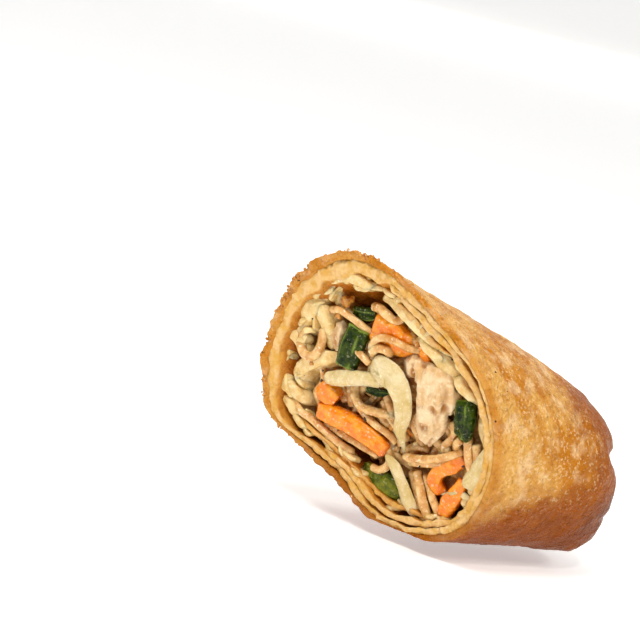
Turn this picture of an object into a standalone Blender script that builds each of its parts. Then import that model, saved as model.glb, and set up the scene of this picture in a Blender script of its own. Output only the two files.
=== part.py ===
"""Half of a fried spring roll, cut across on the slant, lying on its underside.

Metres, +Z up. The roll runs along X: the cut mouth faces -X, the folded end is at +X.
"""
import math

import bmesh
import bpy
from mathutils import Matrix, Vector

MM = 0.001

# The roll
MOUTH_X = -17.0
MOUTH_Z = 19.5
MOUTH_LEAN = 0.30
MOUTH_BIAS = 0.45
MOUTH_HALF_WIDTH = 18.0
MOUTH_HALF_HEIGHT = 20.2
END_X = 22.4
END_HALF_WIDTH = 14.4
END_HALF_HEIGHT = 12.9
FLAT_SINK = 1.1
REST_EVEN = 0.85
REST_SPREAD = 40.0
SHOULDER_X = 11.0
LOBES = ((2, 0.12, 10.0), (3, 0.06, -9.0), (4, 0.05, -19.0))
DENTS = ((8.0, 16.0, -0.07), (-22.0, 9.0, 0.07))
EAR_OUT = 0.17
EAR_AT = -122.0
EAR_SPREAD = 24.0
PLEATS_AT = (30.0, 150.0)
PLEAT_DEPTH = 2.6
PLEAT_FROM_X = 17.5

# The pastry and what it holds
WALL = 3.3
END_WALL = 5.0
GAP = 0.3
FRONT_RECESS = 3.0
FRONT_RELIEF = 0.45
HOLLOW_AT = (-8.0, 15.2, 3.5)
HOLLOW_SIZE = (6.0, 2.4, 6.5)

RING = 12
SKIN_LEVEL = 2
PIECE_LEVEL = 1


def taper(x):
    return min(max((x - MOUTH_X) / (END_X - MOUTH_X), -0.6), 1.0)


def half_sizes(x):
    t = taper(x)
    width = MOUTH_HALF_WIDTH + (END_HALF_WIDTH - MOUTH_HALF_WIDTH) * t
    height = MOUTH_HALF_HEIGHT + (END_HALF_HEIGHT - MOUTH_HALF_HEIGHT) * t
    return width, height


def lobes(x, angle):
    """How far the section departs from an ellipse, fading out toward the end."""
    fade = 1.0 - 0.8 * max(taper(x), 0.0)
    swell = sum(amount * math.cos(count * (angle - math.radians(at))) for count, amount, at in LOBES)
    swell += sum(amount * math.exp(-((math.degrees(angle) - at + 180.0) % 360.0 - 180.0) ** 2 / spread ** 2)
                 for at, spread, amount in DENTS)
    from_base = (math.degrees(angle) + 90.0 + 180.0) % 360.0 - 180.0
    swell *= 1.0 - REST_EVEN * math.exp(-(from_base / REST_SPREAD) ** 2)
    off = (math.degrees(angle) - EAR_AT + 180.0) % 360.0 - 180.0
    ear = EAR_OUT * math.exp(-(off / EAR_SPREAD) ** 2) * max((x - SHOULDER_X) / (END_X - SHOULDER_X), 0.0)
    return 1.0 + fade * swell + ear


def section_ring(x, inset, scale=1.0):
    width, height = half_sizes(x)
    tighten = (4.0 + 2.0 * math.cos(2 * math.pi / RING)) / 6.0
    centre_z = height - FLAT_SINK
    ring = []
    for i in range(RING):
        angle = 2 * math.pi * i / RING
        swell = lobes(x, angle)
        y = (width * swell - inset) * scale * math.cos(angle) / tighten
        z = (height * swell - inset) * scale * math.sin(angle) / tighten
        back = 0.0
        if x > PLEAT_FROM_X and scale > 0.5:
            back = PLEAT_DEPTH * any(abs(math.degrees(angle) - at) < 1.0 for at in PLEATS_AT)
        ring.append(Vector((x - back, y, centre_z + z)) * MM)
    return ring


def collection(name, hidden):
    group = bpy.data.collections.new(name)
    bpy.context.scene.collection.children.link(group)
    group.hide_render = hidden
    return group


def new_object(name, verts, faces, group):
    mesh = bpy.data.meshes.new(name)
    mesh.from_pydata([tuple(v) for v in verts], [], faces)
    mesh.validate()
    bm = bmesh.new()
    bm.from_mesh(mesh)
    bmesh.ops.recalc_face_normals(bm, faces=bm.faces)
    bm.to_mesh(mesh)
    bm.free()
    piece = bpy.data.objects.new(name, mesh)
    group.objects.link(piece)
    for face in mesh.polygons:
        face.use_smooth = True
    return piece


def smooth_cage(name, rings, group, level=SKIN_LEVEL):
    """Closed cage through the rings, ends shut with a middle point, then subdivided."""
    count = len(rings[0])
    verts = [v for ring in rings for v in ring]
    faces = []
    for r in range(len(rings) - 1):
        for i in range(count):
            j = (i + 1) % count
            faces.append((r * count + i, r * count + j, (r + 1) * count + j, (r + 1) * count + i))
    for r in (0, len(rings) - 1):
        middle = sum(rings[r], Vector()) / count
        verts.append(middle)
        for i in range(count):
            faces.append((r * count + i, r * count + (i + 1) % count, len(verts) - 1))
    piece = new_object(name, verts, faces, group)
    subdivide(piece, level)
    return piece


def subdivide(piece, level):
    smooth = piece.modifiers.new("Smooth", "SUBSURF")
    smooth.levels = smooth.render_levels = level


def cut(piece, cutter, operation="DIFFERENCE"):
    boolean = piece.modifiers.new("Cut " + cutter.name, "BOOLEAN")
    boolean.operation = operation
    boolean.object = cutter
    boolean.solver = "EXACT"
    cutter.display_type = "WIRE"
    cutter.hide_render = True


def material(name, colour, roughness):
    mat = bpy.data.materials.new(name)
    mat.use_nodes = True
    shader = mat.node_tree.nodes["Principled BSDF"]
    shader.inputs["Base Color"].default_value = (*colour, 1.0)
    shader.inputs["Roughness"].default_value = roughness
    return mat


for leftover in list(bpy.data.objects):
    bpy.data.objects.remove(leftover, do_unlink=True)

roll = collection("Spring roll half", hidden=False)
tools = collection("Cutters", hidden=True)

# Directions on the cut face: across to the near side, up along the face, and into the roll
INTO = Vector((1.0, MOUTH_BIAS, MOUTH_LEAN)).normalized()
ACROSS = Vector((MOUTH_BIAS, -1.0, 0.0)).normalized()
UP = ACROSS.cross(INTO).normalized()
if UP.z < 0:
    UP = -UP
MOUTH_CENTRE = Vector((MOUTH_X, 0.0, MOUTH_Z))


def on_face(across, up, depth):
    return (MOUTH_CENTRE + ACROSS * across + UP * up + INTO * depth) * MM


def knife(name, depth, relief):
    """A slab in front of the cut face; its inner side may be uneven."""
    steps = 14 if relief else 1
    reach = 34.0
    verts, faces = [], []
    for i in range(steps + 1):
        for j in range(steps + 1):
            a = reach * (2 * i / steps - 1)
            u = reach * (2 * j / steps - 1)
            wave = math.sin(0.43 * a + 0.6) * math.cos(0.37 * u) + 0.6 * math.sin(0.9 * u - 0.5 * a)
            verts.append(on_face(a, u, depth + relief * wave))
    front = len(verts)
    for i in range(steps + 1):
        for j in range(steps + 1):
            verts.append(on_face(reach * (2 * i / steps - 1), reach * (2 * j / steps - 1), -34.0))

    def at(i, j):
        return i * (steps + 1) + j

    for i in range(steps):
        for j in range(steps):
            near = (at(i, j), at(i + 1, j), at(i + 1, j + 1), at(i, j + 1))
            faces.append(near)
            faces.append(tuple(front + k for k in reversed(near)))
    for k in range(steps):
        for a, b in ((at(k, 0), at(k + 1, 0)), (at(k + 1, steps), at(k, steps)),
                     (at(0, k + 1), at(0, k)), (at(steps, k), at(steps, k + 1))):
            faces.append((b, a, front + a, front + b))
    return new_object(name, verts, faces, tools)


def box(name, low, high):
    corners = [Vector((x, y, z)) * MM for x in (low[0], high[0]) for y in (low[1], high[1]) for z in (low[2], high[2])]
    faces = [(0, 1, 3, 2), (4, 6, 7, 5), (0, 4, 5, 1), (2, 3, 7, 6), (0, 2, 6, 4), (1, 5, 7, 3)]
    return new_object(name, corners, faces, tools)


# The pastry: a tapering tube with a rounded shoulder, a rim, and the tucked-in folds doming inside it
OUTER = [(-44.0, 1.0), (-27.0, 1.0), (-10.0, 1.0), (5.0, 1.0), (14.5, 0.99), (20.6, 0.88),
         (23.4, 0.70), (22.6, 0.54), (19.8, 0.52), (20.8, 0.42), (22.2, 0.20)]
wrapper = smooth_cage("wrapper", [section_ring(x, 0.0, s) for x, s in OUTER], roll)

CAVITY = [(-48.0, 1.0), (-26.0, 1.0), (-6.0, 1.0), (END_X - END_WALL - 6.0, 0.97),
          (END_X - END_WALL - 1.0, 0.72)]
cavity = smooth_cage("cavity", [section_ring(x, WALL, s) for x, s in CAVITY], tools)
floor = box("floor", (-60.0, -40.0, -12.0), (60.0, 40.0, 0.0))
slant = knife("slant knife", 0.0, 0.0)
cut(wrapper, cavity)
cut(wrapper, slant)
cut(wrapper, floor)
wrapper.data.materials.append(material("fried pastry", (0.60, 0.29, 0.085), 0.45))

# The bundle of noodles, cabbage and minced bits, a little back from the cut
filling = smooth_cage("filling", [section_ring(x, WALL + GAP, s) for x, s in
                                  [(-40.0, 1.0), (-24.0, 1.0), (-6.0, 1.0),
                                   (END_X - END_WALL - 7.0, 0.96), (END_X - END_WALL - 2.0, 0.68)]], roll)
cut(filling, knife("front knife", FRONT_RECESS, FRONT_RELIEF))
bm = bmesh.new()
bmesh.ops.create_icosphere(bm, subdivisions=2, radius=MM)
hollow_axes = Matrix((ACROSS * HOLLOW_SIZE[0], UP * HOLLOW_SIZE[1], INTO * HOLLOW_SIZE[2])).transposed()
bm.transform(Matrix.Translation(on_face(*HOLLOW_AT)) @ hollow_axes.to_4x4())
hollow = new_object("hollow", [v.co for v in bm.verts], [[v.index for v in f.verts] for f in bm.faces], tools)
bm.free()
cut(filling, hollow)
filling.data.materials.append(material("noodles and cabbage", (0.55, 0.36, 0.17), 0.4))


def bar(name, path, width, thick, group, grow=0.0):
    """Rounded strip along a path on the cut face; each point is across, up, depth, share of the width."""
    points = [on_face(a, u, d) for a, u, d, share in path]
    rings = []
    for i, point in enumerate(points):
        along = (points[min(i + 1, len(points) - 1)] - points[max(i - 1, 0)]).normalized()
        side = along.cross(INTO).normalized()
        rise = side.cross(along).normalized()
        if i == 0:
            point = point - along * grow * MM
        if i == len(points) - 1:
            point = point + along * grow * MM
        w = (width * path[i][3] / 2 * 1.24 + grow) * MM
        t = (thick / 2 * 1.24 + grow) * MM
        rings.append([point + side * w + rise * t, point - side * w + rise * t,
                      point - side * w - rise * t, point + side * w - rise * t])
    count = 4
    verts = [v for ring in rings for v in ring]
    faces = [(0, 1, 2, 3), tuple(len(verts) - 4 + k for k in (3, 2, 1, 0))]
    for r in range(len(rings) - 1):
        for i in range(count):
            j = (i + 1) % count
            faces.append((r * count + i, (r + 1) * count + i, (r + 1) * count + j, r * count + j))
    piece = new_object(name, verts, faces, group)
    subdivide(piece, PIECE_LEVEL)
    return piece


PIECES = {
    # name: (colour, roughness, width, thickness, path)
    "chicken_large": ("chicken", 5.2, 3.4, [(1.4, 5.7, 2.2, 0.6), (4.4, 5.2, 1.9, 0.8), (7.4, 3.7, 1.7, 1.25),
                                           (6.8, -0.6, 1.9, 1.0), (6.3, -5.2, 2.3, 0.72)]),
    "chicken_small": ("chicken", 2.4, 1.8, [(-11.2, 9.0, 2.8, 0.7), (-12.1, 6.2, 2.6, 1.0), (-11.9, 3.4, 3.0, 0.8)]),
    "carrot_top": ("carrot", 4.8, 2.4, [(-5.0, 9.8, 3.6, 1.0), (-1.8, 9.5, 3.4, 1.0), (1.2, 9.5, 3.8, 0.6)]),
    "carrot_sliver": ("carrot", 1.5, 1.4, [(3.3, 9.4, 3.0, 0.8), (3.9, 8.3, 2.9, 1.0), (4.5, 7.1, 3.2, 0.6)]),
    "carrot_long": ("carrot", 3.2, 2.4, [(-13.4, -6.6, 2.4, 0.9), (-8.5, -6.9, 2.2, 1.0), (-4.2, -7.8, 2.4, 1.0),
                                         (-0.8, -9.6, 2.8, 0.7)]),
    "carrot_knob": ("carrot", 2.6, 2.2, [(-13.3, -2.6, 3.2, 0.8), (-12.2, -3.3, 3.0, 1.1), (-10.9, -4.0, 3.3, 0.7)]),
    "carrot_curl": ("carrot", 2.0, 2.2, [(12.4, -7.0, 4.6, 0.7), (10.2, -8.6, 4.0, 1.0), (8.6, -10.8, 3.8, 1.0),
                                         (9.3, -13.4, 4.4, 0.7)]),
    "carrot_short": ("carrot", 2.3, 2.4, [(13.4, -9.8, 3.0, 0.7), (12.2, -12.4, 2.7, 1.0), (11.0, -15.4, 3.2, 0.9)]),
    "scallion_top": ("scallion", 3.7, 2.2, [(-7.6, 8.8, 1.9, 1.0), (-8.4, 5.8, 1.5, 1.0), (-9.4, 2.5, 1.9, 0.92)]),
    "scallion_back": ("scallion", 1.9, 1.6, [(-9.4, 11.3, 3.1, 0.8), (-7.6, 11.4, 2.9, 1.0), (-5.9, 11.6, 3.2, 0.8)]),
    "scallion_dark": ("scallion", 1.5, 1.4, [(-1.2, 12.9, 3.0, 0.8), (0.2, 12.6, 2.9, 1.0), (1.6, 12.0, 3.1, 0.7)]),
    "scallion_right": ("scallion", 3.3, 2.0, [(12.1, 3.1, 2.4, 0.85), (12.7, 0.7, 2.0, 1.0), (12.2, -1.8, 2.5, 0.8)]),
    "scallion_low": ("light scallion", 2.9, 1.8, [(-4.3, -13.4, 3.0, 0.6), (-1.0, -14.2, 2.6, 1.0),
                                                  (2.4, -15.2, 3.0, 0.8)]),
    "scallion_middle": ("scallion", 1.2, 1.0, [(-6.0, -0.9, 2.9, 0.8), (-4.0, -0.9, 2.8, 1.0), (-2.0, -0.7, 2.9, 0.7)]),
    "cabbage_left": ("cabbage", 2.2, 1.1, [(-12.4, -1.0, 1.6, 0.8), (-9.0, 0.4, 1.0, 1.0), (-5.2, 1.6, 0.8, 1.0),
                                           (-2.2, 1.7, 1.2, 0.8)]),
    "cabbage_curl": ("cabbage", 3.0, 1.1, [(-5.6, 4.7, 0.9, 0.6), (-2.2, 4.9, 0.5, 1.1), (1.0, 2.6, 0.4, 1.1),
                                           (2.1, -1.2, 0.7, 0.8), (2.0, -4.8, 1.2, 0.5), (3.0, -7.8, 1.8, 0.3)]),
    "cabbage_right": ("cabbage", 2.4, 1.1, [(15.9, -3.2, 1.9, 0.6), (15.3, -5.8, 1.5, 1.0), (13.9, -8.4, 1.5, 0.9)]),
    "cabbage_low": ("cabbage", 1.7, 1.3, [(0.0, -10.0, 2.0, 0.8), (2.3, -11.8, 1.6, 1.1), (4.3, -14.6, 1.7, 1.0),
                                          (5.8, -17.6, 2.2, 0.7)]),
}
TINTS = {
    "chicken": ((0.88, 0.70, 0.46), 0.45),
    "carrot": ((0.86, 0.27, 0.02), 0.3),
    "scallion": ((0.03, 0.07, 0.01), 0.2),
    "light scallion": ((0.19, 0.20, 0.015), 0.25),
    "cabbage": ((0.74, 0.62, 0.30), 0.3),
}
pockets = collection("Pockets", hidden=True)
for name, (kind, width, thick, path) in PIECES.items():
    piece = bar(name, path, width, thick, roll)
    piece.data.materials.append(material(name.replace("_", " "), *TINTS[kind]))
    bar(name + " pocket", path, width, thick, pockets, grow=GAP)
seat = filling.modifiers.new("Seat the pieces", "BOOLEAN")
seat.operation, seat.solver = "DIFFERENCE", "EXACT"
seat.operand_type, seat.collection = "COLLECTION", pockets

# Stand the middle of the roll's base at the origin
bpy.context.view_layer.update()
shape = wrapper.evaluated_get(bpy.context.evaluated_depsgraph_get()).data
xs = [v.co.x for v in shape.vertices]
ys = [v.co.y for v in shape.vertices]
shift = Matrix.Translation((-(min(xs) + max(xs)) / 2, -(min(ys) + max(ys)) / 2, 0.0))
print("shift mm", [round(v * 1000, 2) for v in shift.translation])
for thing in bpy.data.objects:
    thing.data.transform(shift)
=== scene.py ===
# %% [markdown]
# # Half of a fried spring roll
# A spring roll is a square sheet of thin dough rolled round a filling and deep fried. This one was
# cut on the slant, and the half lies on its underside: the cut mouth faces -X, the folded end +X.
# The looks are built round a fixed CAD frame. Lengths in this file are millimetres; the helper that
# makes a mesh turns them into metres.

# %% Load the frame
import itertools
import math

import bmesh
import bpy
import numpy as np
from mathutils import Matrix, Vector


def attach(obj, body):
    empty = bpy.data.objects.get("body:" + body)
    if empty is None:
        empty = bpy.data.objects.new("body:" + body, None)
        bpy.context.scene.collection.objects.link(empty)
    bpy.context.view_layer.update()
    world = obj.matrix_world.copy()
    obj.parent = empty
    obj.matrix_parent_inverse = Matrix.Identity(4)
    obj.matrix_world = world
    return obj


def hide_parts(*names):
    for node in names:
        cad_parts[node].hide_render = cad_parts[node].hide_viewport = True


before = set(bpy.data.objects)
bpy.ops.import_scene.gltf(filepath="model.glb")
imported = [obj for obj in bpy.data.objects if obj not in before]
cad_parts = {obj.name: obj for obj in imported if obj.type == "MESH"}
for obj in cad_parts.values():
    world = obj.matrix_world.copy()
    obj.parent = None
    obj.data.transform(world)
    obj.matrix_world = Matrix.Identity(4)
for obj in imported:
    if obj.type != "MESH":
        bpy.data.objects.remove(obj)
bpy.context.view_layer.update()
MM = 0.001

# %% [markdown]
# ## The form of the roll
# Seen end on, the roll is a squashed circle that shrinks toward the folded end. One function gives a
# point of its outside from a distance along the roll and an angle round it, so the skin, the layers
# under it and the filling all follow the same form and never drift apart.

# %% Outside of the roll
SHIFT = np.array([2.70, -1.32, 0.0])       # puts the middle of the footprint at the origin
MOUTH = np.array([-17.0, 0.0, 19.5])
MOUTH_LEAN, MOUTH_BIAS = 0.30, 0.45
WIDTHS, HEIGHTS = (18.0, 14.4), (20.2, 12.9)    # half sizes at the mouth and at the end
END_X, SHOULDER_X, FLAT_SINK = 22.4, 11.0, 1.1
LOBES = ((2, 0.12, 10.0), (3, 0.06, -9.0), (4, 0.05, -19.0))    # waves round the roll, size, angle
DENTS = ((8.0, 16.0, -0.07), (-22.0, 9.0, 0.07))                # angle, spread, size
UNDERSIDE, EAR = (-90.0, 40.0), (-122.0, 24.0)                  # angle, spread
EVEN_UNDER, EVEN_END, EAR_SIZE = 0.85, 0.8, 0.17


def bell(angle, at, spread):
    """1 at an angle in degrees, fading to 0 within about two spreads of it."""
    return np.exp(-(((np.degrees(angle) - at + 180.0) % 360.0 - 180.0) / spread) ** 2)


def section(x, angle, inset=0.0, shrink=1.0):
    """Across and up from the roll's middle line, for arrays of x and angle."""
    along = np.clip((x - MOUTH[0]) / (END_X - MOUTH[0]), -0.6, 1.0)
    width, height = (a + (b - a) * along for a, b in (WIDTHS, HEIGHTS))
    swell = sum(amount * np.cos(count * (angle - math.radians(at))) for count, amount, at in LOBES)
    swell = swell + sum(amount * bell(angle, at, spread) for at, spread, amount in DENTS)
    swell = swell * (1.0 - EVEN_UNDER * bell(angle, *UNDERSIDE))
    ear = EAR_SIZE * bell(angle, *EAR) * np.maximum((x - SHOULDER_X) / (END_X - SHOULDER_X), 0.0)
    swell = 1.0 + swell * (1.0 - EVEN_END * np.maximum(along, 0.0)) + ear
    y = (width * swell - inset) * shrink * np.cos(angle)
    z = height - FLAT_SINK + (height * swell - inset) * shrink * np.sin(angle)
    return y, z


def rim_x(angle, inset=0.0, depth=0.0):
    """Where the slanted cut meets the roll, or a surface inset under it; depth is how far inside."""
    slope = math.sqrt(1.0 + MOUTH_BIAS**2 + MOUTH_LEAN**2)
    x = np.full(np.broadcast(angle, inset, depth).shape, MOUTH[0])
    for _ in range(25):
        y, z = section(x, angle, inset)
        x = MOUTH[0] - MOUTH_BIAS * y - MOUTH_LEAN * (z - MOUTH[2]) + depth * slope
    return x


print("the cut meets the roll at x", [round(float(rim_x(np.radians(a))), 1) for a in (70.0, -115.0)])

# %% [markdown]
# ## Unevenness
# Food has no straight line in it. `rough` is smooth random relief of a chosen size, `pimples` is the
# field of small round bubbles that hot oil raises on dough, and both give the same result each run
# because they come from the point's own place and not from a random generator.

# %% Relief helpers
def lattice(cell, seed):
    """A number from 0 to 1 that belongs to each whole-numbered cell."""
    value = np.sin(cell @ np.array([12.9898, 78.233, 37.719]) + seed * 4.171) * 43758.5453
    return value - np.floor(value)


def rough(points, size, seed=0):
    """Smooth relief from -1 to 1 whose bumps are about size apart."""
    points = np.asarray(points, float) / size + seed * 3.17
    cell = np.floor(points)
    part = points - cell
    part = part * part * (3.0 - 2.0 * part)
    total = np.zeros(points.shape[:-1])
    for corner in itertools.product((0, 1), repeat=3):
        weight = np.prod(np.where(corner, part, 1.0 - part), axis=-1)
        total += weight * lattice(cell + corner, seed)
    return 2.0 * total - 1.0


def pimples(points, size, seed=0, cover=0.7):
    """Round bubbles from 0 to 1, one at most in each cell of the given size."""
    points = np.asarray(points, float) / size
    cell = np.floor(points)
    best = np.zeros(points.shape[:-1])
    for corner in itertools.product((-1, 0, 1), repeat=3):
        near = cell + corner
        middle = near + np.stack([lattice(near, seed + k) for k in (1, 2, 3)], -1)
        radius = 0.25 + 0.45 * lattice(near, seed + 4)
        there = lattice(near, seed + 5) < cover
        gap = np.linalg.norm(points - middle, axis=-1) / radius
        best = np.maximum(best, np.where(there, np.clip(1.0 - gap * gap, 0.0, 1.0) * radius / 0.7, 0.0))
    return best


print("relief at the middle of the mouth:", round(float(rough(MOUTH, 3.0)), 2))

# %% [markdown]
# ## Curves and directions
# A few points give the course of a noodle or a fold; a smooth curve through them gives the rest. The
# outward direction of a surface is the cross product of its two neighbouring steps, and relief is
# pushed along it, so that bumps stand square to the body they grow on.

# %% Splines and normals
def spline(points, count):
    """Count rows along a smooth curve through rows of numbers."""
    points = np.asarray(points, float)
    padded = np.vstack([2 * points[0] - points[1], points, 2 * points[-1] - points[-2]])
    at = np.linspace(0, len(points) - 1, count)
    i = np.minimum(at.astype(int), len(points) - 2)
    t = (at - i)[:, None]
    a, b, c, d = (padded[i + k] for k in range(4))
    bend, twist = 2 * a - 5 * b + 4 * c - d, 3 * b - a - 3 * c + d
    return 0.5 * (2 * b + (c - a) * t + bend * t**2 + twist * t**3)


def unit(vectors):
    """The same directions, one long."""
    return vectors / np.maximum(np.linalg.norm(vectors, axis=-1, keepdims=True), 1e-9)


def facing(points, closed=True):
    """Outward direction at each point of a grid whose columns run round a body."""
    if closed:
        around = np.roll(points, -1, 1) - np.roll(points, 1, 1)
    else:
        around = np.gradient(points, axis=1)
    return unit(np.cross(around, np.gradient(points, axis=0)))


print("a curve through 0, 4 and 2:", spline([[0], [4], [2]], 5).ravel().round(2))

# %% [markdown]
# ## From numbers to meshes
# Every piece is a grid of points closed into one body. `make` shifts it into the frame, shades it
# smooth, gives it a finish, lets it ride on the roll's one body and stores any per-point values,
# such as how brown the crust is together with the painted shade under the roll, for the finish to read.

# %% Mesh helper
def tube_faces(rows, columns, loop=False):
    """Faces of a grid whose columns wrap round; loop also joins the last row to the first."""
    faces = []
    for r in range(rows if loop else rows - 1):
        below, above = r * columns, (r + 1) % rows * columns
        for i in range(columns):
            j = (i + 1) % columns
            faces.append((below + i, below + j, above + j, above + i))
    return faces


CLEARANCE = 0.02        # nothing reaches lower, so nothing goes through the floor


def make(name, points, faces, finish, slot, stands_for=(), **values):
    """A piece of the roll; values are numbers for each point that its finish can read."""
    points = points.reshape(-1, 3) + SHIFT
    points[:, 2] = np.maximum(points[:, 2], CLEARANCE)
    mesh = bpy.data.meshes.new(name)
    mesh.from_pydata((points * MM).tolist(), [], faces)
    for label, numbers in values.items():
        stored = mesh.attributes.new(label, "FLOAT", "POINT")
        stored.data.foreach_set("value", np.ravel(numbers).astype(np.float32))
    tidy = bmesh.new()
    tidy.from_mesh(mesh)
    bmesh.ops.recalc_face_normals(tidy, faces=tidy.faces)
    tidy.to_mesh(mesh)
    tidy.free()
    mesh.polygons.foreach_set("use_smooth", [True] * len(mesh.polygons))
    piece = bpy.data.objects.new(name, mesh)
    bpy.context.scene.collection.objects.link(piece)
    mesh.materials.append(finish)
    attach(piece, "root")
    if stands_for:
        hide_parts(*stands_for)
    print(name, len(mesh.polygons), "faces")
    return piece


def caps(rows, columns, first, last):
    """Fans that close both ends of an open tube; first and last are the middle points' numbers."""
    end = (rows - 1) * columns
    fans = [(i, first, (i + 1) % columns) for i in range(columns)]
    return fans + [(end + i, end + (i + 1) % columns, last) for i in range(columns)]


print("a tube of 3 rows by 8 has", len(tube_faces(3, 8)), "sides and", len(caps(3, 8, 24, 25)), "end faces")

# %% [markdown]
# ## Shader arithmetic
# A finish is a small network of nodes. Wrapping a socket in a Python object lets the network be
# written as sums and products, so a line of code says what the mask or colour is.

# %% Sockets as values
class Value:
    """A shader socket that can stand in a Python expression."""

    def __init__(self, finish, socket):
        self.finish, self.socket = finish, socket

    def maths(self, operation, *terms):
        return self.finish.node("ShaderNodeMath", {"operation": operation}, dict(enumerate(terms)))

    def __add__(self, other):
        return self.maths("ADD", self, other)

    def __sub__(self, other):
        return self.maths("SUBTRACT", self, other)

    def __rsub__(self, other):
        return self.maths("SUBTRACT", other, self)

    def __mul__(self, other):
        return self.maths("MULTIPLY", self, other)

    __radd__, __rmul__ = __add__, __mul__

    def between(self, low, high):
        """0 below low, 1 above high, smooth from one to the other."""
        return self.finish.node("ShaderNodeMapRange", {"interpolation_type": "SMOOTHSTEP"},
                                {"Value": self, "From Min": low, "From Max": high})


class Finish:
    """One material, built from nodes."""

    def __init__(self, name):
        self.material = bpy.data.materials.new(name)
        self.material.use_nodes = True
        self.tree = self.material.node_tree
        self.tree.nodes.clear()
        self.place = self.node("ShaderNodeTexCoord", out="Object")

    def node(self, kind, settings=None, sockets=None, out=0):
        """Add a node: its settings first, then a value or a link for each socket."""
        new = self.tree.nodes.new(kind)
        for key, value in (settings or {}).items():
            setattr(new, key, value)
        for key, value in (sockets or {}).items():
            if isinstance(value, Value):
                self.tree.links.new(value.socket, new.inputs[key])
            else:
                if isinstance(value, tuple) and len(value) == 3 and new.inputs[key].type == "RGBA":
                    value = (*value, 1.0)
                new.inputs[key].default_value = value
        return Value(self, new.outputs[out]) if len(new.outputs) else None

    def noise(self, size, seed=0.0, detail=2.0):
        """Cloudy pattern from 0 to 1 with features of a size in millimetres."""
        return self.node("ShaderNodeTexNoise", {"noise_dimensions": "4D"},
                         {"Vector": self.place, "W": seed, "Scale": 1.0 / (size * MM), "Detail": detail})

    def cells(self, size):
        """Distance from the nearest of scattered points that are a size in millimetres apart."""
        return self.node("ShaderNodeTexVoronoi", None, {"Vector": self.place, "Scale": 1.0 / (size * MM)})

    def stored(self, label):
        """The numbers that the mesh keeps under a label."""
        return self.node("ShaderNodeAttribute", {"attribute_name": label}, out="Fac")

    def blend(self, share, first, second):
        """The first colour where share is 0 and the second where it is 1."""
        return self.node("ShaderNodeMix", {"data_type": "RGBA"}, {0: share, 6: first, 7: second}, out=2)

    def surface(self, colour, roughness, bumps=(), **constants):
        """Principled surface; bumps are (height, millimetres) pairs, constants set plain sockets."""
        normal = None
        for height, size in bumps:
            sockets = {"Height": height, "Distance": size * MM, "Strength": 1.0}
            if normal:
                sockets["Normal"] = normal
            normal = self.node("ShaderNodeBump", None, sockets)
        sockets = {"Base Color": colour, "Roughness": roughness}
        if normal:
            sockets["Normal"] = normal
        sockets.update({key.replace("_", " "): value for key, value in constants.items()})
        shader = self.node("ShaderNodeBsdfPrincipled", None, sockets)
        self.node("ShaderNodeOutputMaterial", None, {"Surface": shader})
        return self.material


print("a finish has the steps:", [step for step in vars(Finish) if not step.startswith("_")])

# %% [markdown]
# ## Finish of the fried skin
# Hot oil turns thin dough golden where it is dry and brown where it is thickest or lies against the
# pan. Colours painted by hand would have to be painted again for each side. Here four crust colours
# are mixed by slow clouds, by streaks that run round the roll and by a stored value that holds both
# browning and painted shade under the roll. The lowest part of the skin is darkened further as painted
# shade, the pits of the grain are darkened as painted shade, and small pale dots are painted highlights
# for the sparkle of oil. The reflection is kept weak, because a strong one would lay a milky film over
# the browns.

# %% Fried skin
GOLD, STRAW = (0.50, 0.18, 0.010), (0.68, 0.36, 0.085)
TOAST, BROWN = (0.31, 0.075, 0.002), (0.12, 0.025, 0.001)
# The second colour of the next line is a painted highlight: pale dots for the sparkle of oil.
# The third colour of the next line is painted shade in the pits of the grain.
DRY_PATCH, GLINT, PIT_SHADE = (0.84, 0.58, 0.31), (0.90, 0.63, 0.34), (0.36, 0.11, 0.006)
RIM_GOLD, CUT_DOUGH = (0.58, 0.21, 0.010), (0.62, 0.31, 0.06)
# The middle colour of the next line is painted shade for the bottom of the roll.
BLOTCH, UNDER_SHADE, PEPPER = (0.40, 0.12, 0.005), (0.25, 0.055, 0.001), (0.05, 0.03, 0.015)


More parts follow.
